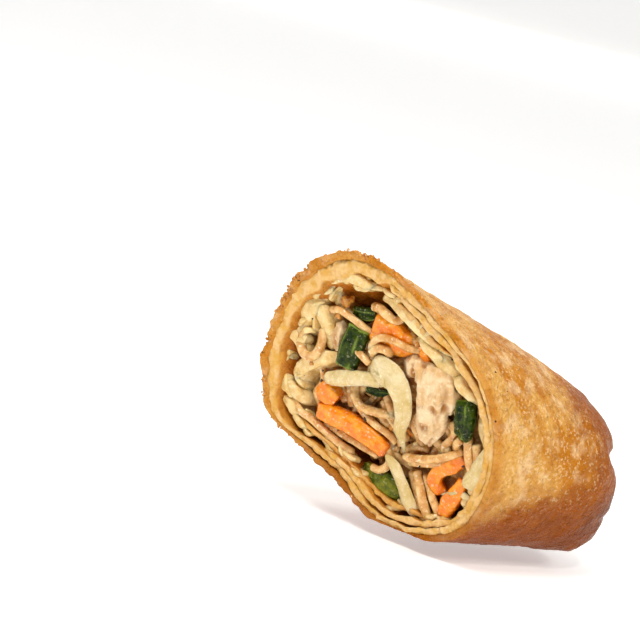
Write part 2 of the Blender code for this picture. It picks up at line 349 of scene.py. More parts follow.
def fried_skin():
    f = Finish("fried skin")
    browning, streak, rim = f.stored("browning"), f.stored("streak"), f.stored("rim")
    clouds, mottle, patches = f.noise(6.0, 1.0, 3.0), f.noise(1.6, 4.0, 3.0), f.noise(3.5, 7.0, 5.0)
    grain, speckle = f.noise(0.45, 2.0, 2.0), f.noise(0.25, 3.0, 1.0)
    blister = 1.0 - f.cells(0.75).between(0.10, 0.50)
    uneven = (clouds - 0.5) * 0.7 + (mottle - 0.5) * 0.6
    spread = browning + uneven + (grain - 0.5) * 0.35
    colour = f.blend((streak + uneven).between(0.25, 0.85), GOLD, STRAW)
    pale = 1.0 - spread.between(0.3, 1.1)
    colour = f.blend(patches.between(0.50, 0.66) * pale * 0.6, colour, DRY_PATCH)
    colour = f.blend(spread.between(0.22, 0.80), colour, TOAST)
    colour = f.blend(spread.between(0.90, 1.5), colour, BROWN)
    # Painted highlights: pale dots on the tops of the grain where the crust is light.
    glints = grain.between(0.54, 0.66) * (1.0 - spread.between(0.4, 1.3))
    colour = f.blend(glints * 0.5, colour, GLINT)
    # Painted shade: the low spots of the grain, which are also its dips in the bump, are darkened.
    colour = f.blend((1.0 - grain.between(0.32, 0.46)) * 0.32, colour, PIT_SHADE)
    colour = f.blend(rim.between(0.2, 1.2) * grain.between(0.30, 0.60) * 0.85, colour, RIM_GOLD)
    colour = f.blend((rim - 1.0 + (mottle - 0.5) * 0.8).between(0.2, 0.8), colour, CUT_DOUGH)
    colour = f.blend(f.noise(2.2, 12.0, 3.0).between(0.50, 0.66) * 0.42, colour, BLOTCH)
    # Painted shade: the lowest 14 mm of the skin is darkened, most near the floor.
    height = f.node("ShaderNodeSeparateXYZ", None, {"Vector": f.place}, out=2)
    colour = f.blend((1.0 - height.between(2.0 * MM, 14.0 * MM)) * 0.6, colour, UNDER_SHADE)
    colour = f.blend(f.noise(0.8, 9.0, 0.0).between(0.845, 0.86), colour, PEPPER)
    return f.surface(colour, 0.42 - 0.24 * speckle.between(0.40, 0.65),
                     [(mottle, 0.5), (blister, 0.15), (grain, 0.26), (speckle, 0.05)],
                     Subsurface_Weight=0.08, Subsurface_Radius=(1.0, 0.5, 0.2), Subsurface_Scale=1.0 * MM,
                     Specular_IOR_Level=0.06)


skin_finish = fried_skin()
print("outside:", skin_finish.name, len(skin_finish.node_tree.nodes), "nodes")

# %% [markdown]
# ## Finish of the dough inside
# The inner turns never meet the oil: they stay cream where they are thin. Deeper into the cut, and on
# the inner side of each turn, they darken to honey and then amber: painted shade of the pockets, laid
# over the dough's own cream and butter tones. Light goes a little way into wet dough, so some of it is
# scattered under the surface.

# %% Inner dough
CREAM, BUTTER = (0.82, 0.55, 0.24), (0.70, 0.38, 0.065)
# Both colours of the next line are painted shade, laid on deeper in the cut.
SHADED_HONEY, SHADED_AMBER = (0.58, 0.24, 0.024), (0.36, 0.10, 0.005)
DRY_EDGE = (0.74, 0.42, 0.14)


def inner_dough():
    f = Finish("inner dough")
    deep, edge = f.stored("deep"), f.stored("edge")
    clouds, flakes = f.noise(2.6, 4.0, 3.0), f.noise(0.9, 6.0, 3.0)
    grain = f.noise(0.35, 5.0, 3.0)
    colour = f.blend((clouds * 0.5 + flakes * 0.5).between(0.38, 0.60), BUTTER, CREAM)
    depth = deep + (flakes - 0.5) * 0.5 + (clouds - 0.5) * 0.4
    # Painted shade: darker honey, then amber, the deeper the dough lies in the cut.
    colour = f.blend(depth.between(0.08, 0.42), colour, SHADED_HONEY)
    colour = f.blend(depth.between(0.30, 0.80), colour, SHADED_AMBER)
    colour = f.blend(edge * grain.between(0.4, 0.7) * 0.6, colour, DRY_EDGE)
    return f.surface(colour, 0.46 - 0.26 * grain, [(clouds, 0.3), (flakes, 0.6), (grain, 0.07)],
                     Subsurface_Weight=0.3, Subsurface_Radius=(0.8, 0.7, 0.6), Subsurface_Scale=0.8 * MM,
                     Specular_IOR_Level=0.2)


dough_finish = inner_dough()
print("inside:", dough_finish.name, len(dough_finish.node_tree.nodes), "nodes")

# %% [markdown]
# ## The fried skin
# The outermost turn of dough is a crisp shell about a millimetre thick. It is one grid: columns run
# round the roll, rows run from deep inside the mouth, over the cut edge, along the outside and over
# the folded end, where a rim stands round the tucked-in dome. Bubbles and waves push the points out.

# %% Skin profile
SKIN_COLUMNS, SLEEVE_ROWS, END_ROWS = 400, 111, 96
# distance along the roll, share of its section there
PROFILE = [(-10.0, 1.0), (5.0, 1.0), (14.5, 0.99), (20.6, 0.88), (23.4, 0.70), (22.6, 0.54),
           (19.8, 0.52), (20.8, 0.42), (22.0, 0.22), (22.3, 0.0), (22.0, -0.22)]


def soft_curve(points, count):
    """Rows along the curve that a subdivided cage makes: it rounds the corners off."""
    points = np.asarray(points, float)
    at = np.linspace(0, len(points) - 3, count)
    i = np.minimum(at.astype(int), len(points) - 4)
    t = (at - i)[:, None]
    a, b, c, d = (points[i + k] for k in range(4))
    before, after = 3 * t**3 - 6 * t**2 + 4, -3 * t**3 + 3 * t**2 + 3 * t + 1
    return (a * (1 - t)**3 + b * before + c * after + d * t**3) / 6


profile = soft_curve(PROFILE, END_ROWS)
print("end profile", profile.shape, "reaches x", round(profile[:, 0].max(), 1))

# %% [markdown]
# ## Rows of the skin
# The edge is crumbly where the knife tore it, most on the upper side, so both its place and its
# thickness wander with the angle. Rows go down the inside, round the edge and along the sleeve; at
# the far end pleats, creases and the flap of the last fold pull the rows in.

# %% Rows of the skin
turn = np.linspace(0, 2 * np.pi, SKIN_COLUMNS, endpoint=False)
crumbly = 0.35 + 0.65 * (bell(turn, 40.0, 70.0) + 0.6 * bell(turn, -50.0, 40.0))
ring_place = np.stack([20 * np.cos(turn), 20 * np.sin(turn), 0 * turn], -1)
ragged = crumbly * (0.35 * rough(ring_place, 2.2, 11) + 0.30 * rough(ring_place, 0.9, 12))
crust = 0.95 + 0.2 * crumbly * rough(ring_place, 3.0, 13)

# angle, spread and depth of each crease
CREASES = ((72.0, 4.0, 0.5), (112.0, 3.0, 0.35), (205.0, 5.0, 0.6), (262.0, 4.0, 0.5), (330.0, 4.0, 0.5))
PLEATS, PLEAT_DEPTH, FLAP_DEPTH, TUCKED = ((30.0, 12.0), (150.0, 12.0)), 1.7, 0.9, 0.3
INNER_DEPTHS = (11.0, 8.5, 6.5, 5.0, 3.8, 2.8, 2.0, 1.4, 0.9, 0.5, 0.2)
EDGE_SWINGS = (20, 50, 80, 110, 140, 165)     # degrees round the rounded edge
rows = []
for depth in INNER_DEPTHS:
    x = rim_x(turn, crust, depth + ragged)
    rows.append((x, *section(x, turn, crust)))
for swing in EDGE_SWINGS:
    inset = crust * (1 + math.cos(math.radians(swing))) / 2
    x = rim_x(turn, inset, ragged - 0.25 * math.sin(math.radians(swing)))
    rows.append((x, *section(x, turn, inset)))
edge_rows = len(rows)
start_x = rim_x(turn, 0.0, ragged + 0.05)
for share in np.linspace(0, 1, SLEEVE_ROWS + 1)[:-1]:
    x = start_x + (profile[0, 0] - start_x) * share
    rows.append((x, *section(x, turn)))
for x_here, shrink in profile[:-1]:
    pleated = min(max((x_here - 17.0) / 4.0, 0.0), 1.0) * (shrink > TUCKED)
    pleats = sum(bell(turn, *pleat) for pleat in PLEATS) * PLEAT_DEPTH * pleated
    creased = min(max((x_here - 16.0) / 5.0, 0.0), 1.0)
    for at, spread, sink in CREASES:
        pleats = pleats + sink * bell(turn, at, spread) * creased * (abs(shrink) > TUCKED)
    x = np.full_like(turn, x_here)
    y, z = section(x, turn, 0.0, shrink)
    flap = FLAP_DEPTH / (1.0 + np.exp((z - 13.5 - 0.25 * y) / 0.3)) * (shrink < 0.52)
    rows.append((x - pleats - flap, y, z))
skin = np.array([np.stack(np.broadcast_arrays(*row), -1) for row in rows])
print("skin grid", skin.shape[:2], "edge rows end at", edge_rows)

# %% [markdown]
# ## Relief and browning of the skin
# Oil raises blisters of several sizes and the sheet is never flat, so waves, bubbles and a finer
# roughness move each point along its own direction; at the edge crumbs stand up instead. A sculpting
# brush would do it by hand, while fields of bumps do it evenly over every side. The same grid then
# says how brown each point is: most at the folded end, and toward the bottom, where the darkening is
# partly frying colour and partly painted shade.

# %% Skin relief and browning
SLEEVE_ROW, FADE_ROW, PALE_ROWS = 60, 8, (6.0, 13.0)
out = facing(skin)
if np.mean(out[SLEEVE_ROW, :, 1] * skin[SLEEVE_ROW, :, 1]) < 0:
    out = -out
x_of, z_of = skin[..., 0], skin[..., 2]
outside = np.zeros(skin.shape[:2])
outside[edge_rows:] = 1.0
from_rim = np.clip((x_of - start_x) / 3.0, 0, 1) * outside
row = np.arange(len(skin))[:, None]
near_rim = (1 - from_rim) * np.clip(row - FADE_ROW, 0, FADE_ROW) / FADE_ROW
pale_core = np.clip((PALE_ROWS[1] - row) / 2.5, 0, 1) * np.clip(row - PALE_ROWS[0], 0, 1)
waves = 0.22 * rough(skin, 7.0, 1) + 0.13 * rough(skin, 3.0, 2)
bubbles = 0.32 * pimples(skin, 3.2, 3, 0.22) + 0.11 * pimples(skin, 1.2, 7, 0.6) + 0.05 * rough(skin, 0.7, 5)
crumbs = 0.30 * crumbly * near_rim * pimples(skin, 0.95, 9, 0.8)
skin = skin + out * ((waves + bubbles) * (0.25 + 0.75 * from_rim) * outside + crumbs)[..., None]
skin[..., 2] = np.maximum(skin[..., 2], CLEARANCE)

angle_of = np.broadcast_to(turn, z_of.shape)
toward_end = np.clip((x_of - 2.0) / 20.0, 0, 1)
# under is 1 at the floor and 0 from 15 mm up: the skin darkens toward the bottom, partly as frying colour and
# partly as painted shade
under = np.clip((15.0 - z_of) / 15.0, 0, 1)
from_cut = x_of - start_x
round_roll = np.stack([from_cut / 0.7, angle_of * 2.0, 0 * x_of], -1)
streak = 0.5 + 0.35 * rough(round_roll, 1.6, 21) + 0.45 * rough(skin, 6.0, 22)
streak += 0.5 * np.exp(-((from_cut - 2.5) / 2.0) ** 2)
# Browning and painted shade in one value: the under term paints the shade at the bottom of the roll
browning = 0.08 + 0.95 * toward_end**1.7 + 1.25 * under**1.2
browning = browning + 0.28 * rough(skin, 8.0, 23) + 0.15 * rough(skin, 2.5, 24)
browning += 0.35 * bell(angle_of, 118.0, 22.0) * np.clip((x_of - 4.0) / 12.0, 0, 1)
browning = browning * outside + 0.2 * (1 - outside)
count = skin[..., 0].size
middles = np.array([skin[0].mean(0), skin[-1].mean(0)])
points = np.vstack([skin.reshape(-1, 3), middles])
ends = [0.2, 0.6]
faces = tube_faces(len(skin), SKIN_COLUMNS) + caps(len(skin), SKIN_COLUMNS, count, count + 1)
make("fried_skin", points, faces, skin_finish, "pastry", ("wrapper",), browning=np.append(browning, ends),
     streak=np.append(streak, ends), rim=np.append(near_rim + 1.2 * pale_core, [0.0, 0.0]))

# %% [markdown]
# ## Layers under the skin
# Inside the crisp shell the same sheet goes round again, soft and pale, so the cut shows two or three
# more edges with gaps where steam pushed the turns apart. One thick shell with painted lines would
# show no gaps, so each layer is its own band with a rounded front edge. It follows the roll's form at
# its own inset, which swells where a gap has opened.

# %% Layer builder
UP_INSIDE = [(0.0, 1.0), (0.0, 0.62), (0.0, 0.36), (0.0, 0.2), (0.0, 0.1), (0.0, 0.03), (0.03, 0.004)]
ROUND_FRONT = [(0.3, 0.0), (0.7, 0.0)]
CUT_LOOP = UP_INSIDE + ROUND_FRONT + [(1.0 - a, back) for a, back in reversed(UP_INSIDE)]    # across, back
RING_RADIUS = 19.0


def wrap_layer(name, inset, thick, front, deep, arc, seed, wave=0.30):
    """A turn of dough; inset, thick and front are functions of the angle in degrees along the arc."""
    full = arc is None
    first, last = arc or (0.0, 360.0)
    steps = int((last - first) * 1.15)
    degrees = np.linspace(first, last, steps, endpoint=not full)[:, None]
    angle = np.radians(degrees)
    across, back = (np.array([pair[k] for pair in CUT_LOOP])[None, :] for k in (0, 1))
    ring_y, ring_z = RING_RADIUS * np.cos(angle), RING_RADIUS * np.sin(angle)
    spot = np.stack(np.broadcast_arrays(ring_y, ring_z, back * deep), -1)
    edge = front(degrees) + 0.30 * rough(spot[:, :1], 2.4, seed) + 0.22 * rough(spot[:, :1], 0.8, seed + 1)
    width = thick(degrees) * (1 + 0.30 * rough(spot[:, :1], 2.0, seed + 2))
    if not full:
        ends = np.clip(np.minimum(degrees - first, last - degrees) / 7.0, 0.02, 1) ** 0.5
        width, edge = width * ends, edge + 1.5 * (1 - ends)
    under = inset(degrees) + wave * rough(spot, 4.0, seed + 3) + 0.4 * wave * rough(spot, 1.5, seed + 4)
    under = under + width * across
    depth = edge + back * deep
    x = rim_x(angle + 0 * under, under, depth)
    y, z = section(x, angle, under)
    points = np.stack([x, y, z], -1)
    points = points + 0.10 * rough(points, 0.7, seed + 5)[..., None]
    # deeper: how far back a point lies, more on the inner side of the turn; the dough finish paints shade from
    # it.
    deeper = np.clip(np.broadcast_to(depth / 4.0 + 0.2 * across * (back > 0.02), x.shape), 0, 1)
    at_edge = np.broadcast_to(np.clip(1.0 - back * 14.0, 0, 1), x.shape)
    count = len(CUT_LOOP)
    if full:
        return make(name, points, tube_faces(steps, count, loop=True), dough_finish, "pastry",
                    deep=deeper, edge=at_edge * 0.4)
    middles = np.array([points[0].mean(0), points[-1].mean(0)])
    faces = tube_faces(steps, count) + caps(steps, count, steps * count, steps * count + 1)
    return make(name, np.vstack([points.reshape(-1, 3), middles]), faces, dough_finish, "pastry",
                deep=np.append(deeper, [0.2, 0.2]), edge=np.append(at_edge * 0.3, [0, 0]))


def hump(degrees, at, spread):
    """A swelling at an angle along a layer."""
    return bell(np.radians(degrees), at, spread)

# %% Lay the turns
wrap_layer("second_turn", lambda d: 0.82 + 0.4 * hump(d, -50, 18) + 0.3 * hump(d, 128, 14),
           lambda d: 1.05 + 0.9 * hump(d, 65, 30) + 0.4 * hump(d, 0, 18) - 0.25 * hump(d, 145, 20),
           lambda d: 0.15 - 0.1 * hump(d, 60, 60), 15.0, None, 31)
wrap_layer("third_turn", lambda d: 1.95 + 0.5 * hump(d, -62, 16) + 0.5 * hump(d, 143, 9),
           lambda d: 1.1 + 0.3 * hump(d, 115, 15), lambda d: 0.35 - 0.1 * hump(d, 120, 40),
           14.0, (84, 322), 41, 0.4)
wrap_layer("fourth_turn", lambda d: 3.5 + 0.3 * hump(d, 120, 15), lambda d: 0.8 + 0.2 * hump(d, 110, 12),
           lambda d: 0.6 + 0 * d, 12.0, (88, 131), 51)
wrap_layer("inner_flap", lambda d: 3.55 + 0 * d, lambda d: 0.8 + 0 * d, lambda d: 0.9 + 0 * d,
           11.0, (248, 340), 61, 0.45)

# %% [markdown]
# ## Places on the cut and inside the roll
# The cut is a slanted plane, so what shows on it is easiest to lay out by how far across, how far up
# and how deep it lies. The roll itself runs on along X. What goes deep is bent to follow it, and
# whatever would still come through the skin is pulled back inside.

# %% Face coordinates
INTO = unit(np.array([1.0, MOUTH_BIAS, MOUTH_LEAN]))
ACROSS = unit(np.array([MOUTH_BIAS, -1.0, 0.0]))
UP = unit(np.cross(ACROSS, INTO))
UP = UP if UP[2] > 0 else -UP


def on_face(across, up, depth):
    """A point by its place on the cut: across to the near side, up along it, and into the roll."""
    across, up, depth = (np.asarray(v, float)[..., None] for v in (across, up, depth))
    return MOUTH + ACROSS * across + UP * up + INTO * depth


print("into", INTO.round(2), "across", ACROSS.round(2), "up", UP.round(2))

# %% Staying inside the roll
def run_back(points, start=1.5):
    """Bend what lies deeper than start so that it runs back along the roll, not square to the cut."""
    along_roll = np.array([1.0, 0.0, 0.0]) / INTO[0] - INTO
    deeper = np.maximum((points - MOUTH) @ INTO - start, 0.0)
    return points + along_roll * deeper[..., None]


def kept_inside(points, inset=0.8):
    """Pull any point that would come through the skin back to the given inset."""
    x, y, z = points[..., 0], points[..., 1], points[..., 2]
    along = np.clip((x - MOUTH[0]) / (END_X - MOUTH[0]), -0.6, 1.0)
    width, height = (a + (b - a) * along for a, b in (WIDTHS, HEIGHTS))
    middle = height - FLAT_SINK
    angle = np.arctan2((z - middle) / height, y / width)
    for _ in range(3):
        y_wall, z_wall = section(x, angle, inset)
        angle = angle + np.arctan2(z - middle, y) - np.arctan2(z_wall - middle, y_wall)
    y_wall, z_wall = section(x, angle, inset)
    share = np.minimum(np.hypot(y_wall, z_wall - middle) / np.maximum(np.hypot(y, z - middle), 1e-6), 1.0)
    return np.stack([x, y * share, middle + (z - middle) * share], -1)


print("a point far outside comes back to", kept_inside(np.array([0.0, 40.0, 15.0])).round(1))

# %% [markdown]
# ## The bundle behind the cut
# Minced cabbage, noodle ends and stock set into a soft brown mass. It fills the roll behind the
# pieces that show. Filling the whole roll with single shreds would cost many faces that nobody sees,
# so this is one body. Its face is a disc of rings from the middle outward, pushed in and out by
# relief, and it leaves the hollow under the top of the roll open, as steam left it.

# %% Filling finish
STOCK, MINCE, SHRED = (0.36, 0.14, 0.03), (0.56, 0.31, 0.10), (0.72, 0.47, 0.17)
CARROT_BIT, PEPPER_BIT, SHADE = (0.80, 0.25, 0.015), (0.04, 0.025, 0.012), (0.20, 0.055, 0.008)


def minced_filling():
    f = Finish("minced filling")
    clouds, bits = f.noise(2.2, 1.5, 3.0), f.noise(0.7, 2.5, 2.0)
    grain = f.noise(0.3, 3.5, 2.0)
    colour = f.blend(clouds.between(0.35, 0.65), STOCK, MINCE)
    colour = f.blend(bits.between(0.55, 0.68), colour, SHRED)
    colour = f.blend(f.noise(1.3, 7.5, 0.0).between(0.70, 0.74), colour, CARROT_BIT)
    colour = f.blend(f.noise(0.8, 8.5, 0.0).between(0.76, 0.80), colour, PEPPER_BIT)
    colour = f.blend(f.stored("deep").between(0.3, 1.0), colour, SHADE)
    return f.surface(colour, 0.34 - 0.2 * grain, [(clouds, 0.3), (bits, 0.3), (grain, 0.12)],
                     Subsurface_Weight=0.2, Subsurface_Radius=(1.4, 0.7, 0.3), Subsurface_Scale=1.0 * MM,
                     Specular_IOR_Level=0.25)


minced_finish = minced_filling()
print("core:", minced_finish.name, len(minced_finish.node_tree.nodes), "nodes")

# %% Filling body
CORE_COLUMNS, CORE_RINGS, CORE_ROWS = 220, 64, 16
CORE_FRONT, CORE_BACK, CORE_END = 4.9, (9.0, 30.0), 14.0
core_turn = np.linspace(0, 2 * np.pi, CORE_COLUMNS, endpoint=False)
core_inset = 4.4 + 2.6 * bell(core_turn, 55.0, 38.0) + 1.4 * bell(core_turn, 5.0, 30.0)
core_x = rim_x(core_turn, core_inset)
rim_points = np.stack([core_x, *section(core_x, core_turn, core_inset)], -1)
flat = np.stack([(rim_points - MOUTH) @ ACROSS, (rim_points - MOUTH) @ UP], -1)
centre = flat.mean(0)
core_rows = []
for share in np.linspace(0.02, 1.0, CORE_RINGS):
    a, u = (centre + (flat - centre) * share).T
    hollow = 3.5 * np.exp(-((a + 7.0) / 5.0) ** 2 - ((u - 14.0) / 2.6) ** 2)
    core_rows.append(on_face(a, u, CORE_FRONT + hollow + 3.0 * max(share - 0.9, 0) * 10))
for depth in np.linspace(*CORE_BACK, CORE_ROWS):
    x = np.minimum(rim_x(core_turn, core_inset, depth), CORE_END + 0.05 * depth)
    core_rows.append(np.stack([x, *section(x, core_turn, core_inset)], -1))
core = np.array(core_rows)
core[:CORE_RINGS] = run_back(core[:CORE_RINGS], 3.0)
lumps = 0.9 * rough(core, 5.0, 71) + 0.7 * rough(core, 2.2, 72) - 1.0 * pimples(core, 2.6, 73, 0.8)
lumps += 0.35 * rough(core, 0.9, 74) - 0.35 * pimples(core, 1.1, 76, 0.8)
core[:CORE_RINGS] += INTO * lumps[:CORE_RINGS, :, None]
core = kept_inside(core, 3.0)
deeper = np.clip(((core - MOUTH) @ INTO - 4.0) / 6.0, 0, 1)
ends = np.array([core[0].mean(0), core[-1].mean(0)])
count = core[..., 0].size
faces = tube_faces(len(core), CORE_COLUMNS) + caps(len(core), CORE_COLUMNS, count, count + 1)
make("minced_filling", np.vstack([core.reshape(-1, 3), ends]), faces, minced_finish, "noodles", ("filling",),
     deep=np.append(deeper, [0.1, 1.0]))

# %% [markdown]
# ## Bodies swept along a path
# Carrot, scallion, cabbage, meat fibres and noodles all start as a body swept along a smooth path on
# the cut face. A curve object with a bevel would sweep a section too, but the section here runs from
# round to boxy by one number, may twist, and takes relief on every side from a function of its own.

# %% Swept bodies
def swept(path, width, thick, square=2.0, twist=0.0, rows=40, columns=20, ends=0.12, relief=None):
    """Points and faces of a closed body; path rows are across, up, depth and share of the width."""
    line = spline(path, rows)
    middle = on_face(line[:, 0], line[:, 1], line[:, 2])
    along = unit(np.gradient(middle, axis=0))
    side = unit(np.cross(along, INTO))
    face = unit(np.cross(side, along))
    turned = np.radians(np.linspace(0, 1, rows) * twist)[:, None]
    c, s = np.cos(turned), np.sin(turned)
    side, face = side * c + face * s, face * c - side * s
    step = np.linspace(0, 1, rows)
    near = np.clip(np.minimum(step, 1 - step) / ends, 0, 1)
    round_off = np.maximum(np.sqrt(np.clip(1 - (1 - near) ** 2, 0.0, 1))[:, None], 0.06)
    swing = np.linspace(0, 2 * np.pi, columns, endpoint=False)
    c, s = (np.sign(v) * np.abs(v) ** (2.0 / square) for v in (np.cos(swing), np.sin(swing)))
    share = line[:, 3:4]
    body = middle[:, None] + side[:, None] * (c * width / 2 * share * round_off)[..., None]
    body = body + face[:, None] * (s * thick / 2 * np.sqrt(share) * round_off)[..., None]
    if relief:
        across, front, lengthwise = np.broadcast_arrays(c, s, step[:, None])
        normal = facing(body)
        if np.sum(normal * (body - middle[:, None])) < 0:
            normal = -normal
        body = body + normal * relief(body, across, front, lengthwise)[..., None]
    count = rows * columns
    points = np.vstack([body.reshape(-1, 3), middle[0], middle[-1]])
    return points, tube_faces(rows, columns) + caps(rows, columns, count, count + 1)


def joined(bodies):
    """Several closed bodies as one list of points and one of faces."""
    points, faces, start = [], [], 0
    for body, sides in bodies:
        points.append(body)
        faces += [tuple(start + i for i in side) for side in sides]
        start += len(body)
    return np.vstack(points), faces


print("a swept body has", len(swept([(0, 0, 2, 1), (5, 0, 2, 1)], 2.0, 1.0)[1]), "faces")

# %% [markdown]
# ## Finishes of the pieces
# Everything in the filling is wet with stock. Each finish mixes a dark and a light tone by clouds and
# turns to a third tone where a stored value says: at cut tips; in the chicken's pits and grooves and
# deeper in for noodles and folds, where it is painted shade; and on scallion ridges, where it is a
# painted highlight. Small pale dots are painted highlights of the wet film, and fine beads stand in the
# relief. Light also goes a little way into vegetables, noodles and chicken, which keeps them from
# looking like painted clay.

# %% Vegetable, chicken and noodle finishes
WET_GLINT = (0.98, 0.86, 0.62)


def moist(name, dark, light, size, glow, depth, roughness, tint=None, gloss=0.5, glint=0.45):
    """Wet finish; size is that of the clouds, glow and depth say how much light goes in and how far."""
    f = Finish(name)
    clouds, grain = f.noise(size, 1.0, 3.0), f.noise(0.35, 2.0, 3.0)
    beads = f.noise(0.9, 5.0, 0.5)
    colour = f.blend((clouds + (grain - 0.5) * 0.25).between(0.3, 0.7), dark, light)
    # The third tone follows the stored tip value, which holds cut ends, painted shade and painted highlights,
    # depending on the piece.
    if tint:
        colour = f.blend(f.stored("tip").between(0.2, 0.9), colour, tint)
    # Painted highlights: small pale dots of wet glint.
    colour = f.blend(f.noise(0.5, 6.0, 1.0).between(0.61, 0.70) * glint, colour, WET_GLINT)
    return f.surface(colour, roughness - 0.2 * grain, [(clouds, 0.25), (beads, 0.45), (grain, 0.05)],
                     Subsurface_Weight=glow, Subsurface_Radius=(0.8, 0.75, 0.7),
                     Subsurface_Scale=0.6 * depth * MM, Specular_IOR_Level=gloss)


carrot_finish = moist("cooked carrot", (0.88, 0.20, 0.003), (0.98, 0.36, 0.012), 1.2, 0.3, 0.8, 0.36,
                      tint=(0.70, 0.14, 0.004))
# The lighter tint of dark scallion shows at the cut ends and, as painted highlights, along the ridges.
green_finish = moist("dark scallion", (0.004, 0.014, 0.001), (0.040, 0.070, 0.002), 0.9, 0.05, 0.5, 0.25,
                     tint=(0.20, 0.28, 0.04), gloss=0.12, glint=0.16)
leaf_finish = moist("light scallion", (0.05, 0.075, 0.003), (0.23, 0.23, 0.012), 1.1, 0.15, 0.6, 0.26,
                    tint=(0.015, 0.035, 0.004), gloss=0.15, glint=0.2)
cabbage_finish = moist("cooked cabbage", (0.66, 0.49, 0.18), (0.80, 0.66, 0.38), 2.4, 0.5, 1.4, 0.34,
                       tint=(0.66, 0.49, 0.17))
# The tint of cooked chicken is painted shade in its pits and grooves.
chicken_finish = moist("cooked chicken", (0.72, 0.45, 0.20), (0.87, 0.69, 0.44), 1.8, 0.35, 0.8, 0.5,
                       tint=(0.46, 0.19, 0.045), gloss=0.2)
# The tint of glass noodles is painted shade for the deeper strings.
noodle_finish = moist("glass noodle", (0.60, 0.28, 0.065), (0.84, 0.57, 0.25), 1.3, 0.6, 1.8, 0.2,
                      tint=(0.44, 0.14, 0.012), glint=0.6)
# The tint of steamed dough is painted shade for the parts that lie further back.
steamed_finish = moist("steamed dough", (0.72, 0.47, 0.15), (0.88, 0.68, 0.34), 1.5, 0.6, 1.6, 0.34,
                       tint=(0.48, 0.19, 0.02))
crumb_finish = moist("fried crumb", (0.44, 0.14, 0.008), (0.70, 0.31, 0.04), 0.6, 0.1, 0.5, 0.45)
print("finishes:", [finish.name for finish in bpy.data.materials])

# %% [markdown]
# ## Relief of each kind
# Carrot keeps the faint fibres of the root, scallion has grooves along it, cabbage has veins. Each kind
# gets a small function that says how far a point moves, from its place across, on the front and along
# the piece, so the marks run with the piece as it bends. The pale ridges between the scallion's grooves
# are painted highlights, laid on by the colour and not by the relief.

# %% Relief of each kind
def carrot_relief(seed):
    def relief(body, across, front, step):
        fibres = rough(np.stack([across * 2.2, front * 2.2, step * 3.0], -1), 0.6, seed)
        return 0.10 * fibres + 0.16 * rough(body, 2.0, seed + 1) + 0.05 * rough(body, 0.5, seed + 2)
    return relief


def scallion_relief(seed):
    def relief(body, across, front, step):
        grooves = sum(np.exp(-((across - at) / 0.10) ** 2) for at in (-0.42, 0.05, 0.5))
        bumps = 0.14 * rough(body, 1.6, seed) + 0.04 * rough(body, 0.5, seed + 1)
        return -0.28 * grooves * (front < 0) + bumps
    return relief


def cabbage_relief(seed):
    def relief(body, across, front, step):
        veins = sum(np.exp(-((across - at) / 0.09) ** 2) for at in (-0.5, -0.1, 0.35, 0.7))
        return 0.12 * veins + 0.20 * rough(body, 2.4, seed) + 0.07 * rough(body, 0.8, seed + 1)
    return relief


def tips(rows, columns):
    """1 at both ends of a swept body, fading over a tenth of its length."""
    step = np.linspace(0, 1, rows)
    near = np.clip(1 - np.minimum(step, 1 - step) / 0.10, 0, 1)
    return np.append(np.repeat(near, columns), [1.0, 1.0])


KINDS = {
    # relief, finish, record slot, squareness, rounding of the ends
    "carrot": (carrot_relief, carrot_finish, "carrot", 4.5, 0.05),
    "scallion": (scallion_relief, green_finish, "scallion", 2.8, 0.05),
    "leaf": (scallion_relief, leaf_finish, "light_scallion", 2.6, 0.10),
    "cabbage": (cabbage_relief, cabbage_finish, "cabbage", 1.35, 0.16),
}


PIECE_ROWS, PIECE_COLUMNS = 56, 28


def cut_piece(name, kind, width, thick, twist, seed, path, rows=PIECE_ROWS):
    """One strip; a name that ends in _piece stands for the CAD node of the same name."""
    relief, finish, slot, square, ends = KINDS[kind]
    points, faces = swept(path, width, thick, square, twist, rows, PIECE_COLUMNS, ends, relief(seed))
    tips_and_shine = tips(rows, PIECE_COLUMNS)
    if kind == "scallion":
        swing = np.linspace(0, 2 * np.pi, PIECE_COLUMNS, endpoint=False)
        # Painted highlights: pale strips along two ridges on the front of each scallion length.
        shine_ridges = sum(np.exp(-((np.cos(swing) - at) / 0.13) ** 2) for at in (-0.72, 0.28))
        shine_ridges = shine_ridges * (np.sin(swing) < 0.2)
        tips_and_shine[:-2] += 1.0 * np.tile(shine_ridges, rows) * (0.6 + 0.6 * rough(points[:-2], 1.5, seed + 3))
    stands_for = (name.removesuffix("_piece"),) if name.endswith("_piece") else ()
    return make(name, kept_inside(points), faces, finish, slot, stands_for, tip=np.clip(tips_and_shine, 0, 1))


print("kinds of strip:", list(KINDS))

# %% [markdown]
# ## Carrot
# Carrot is cut into strips about three millimetres wide before it goes into the pan, so it is boxy
# with firm ends. Each row below is one strip: how wide and thick it is, how far it twists, and the
# places it runs through.

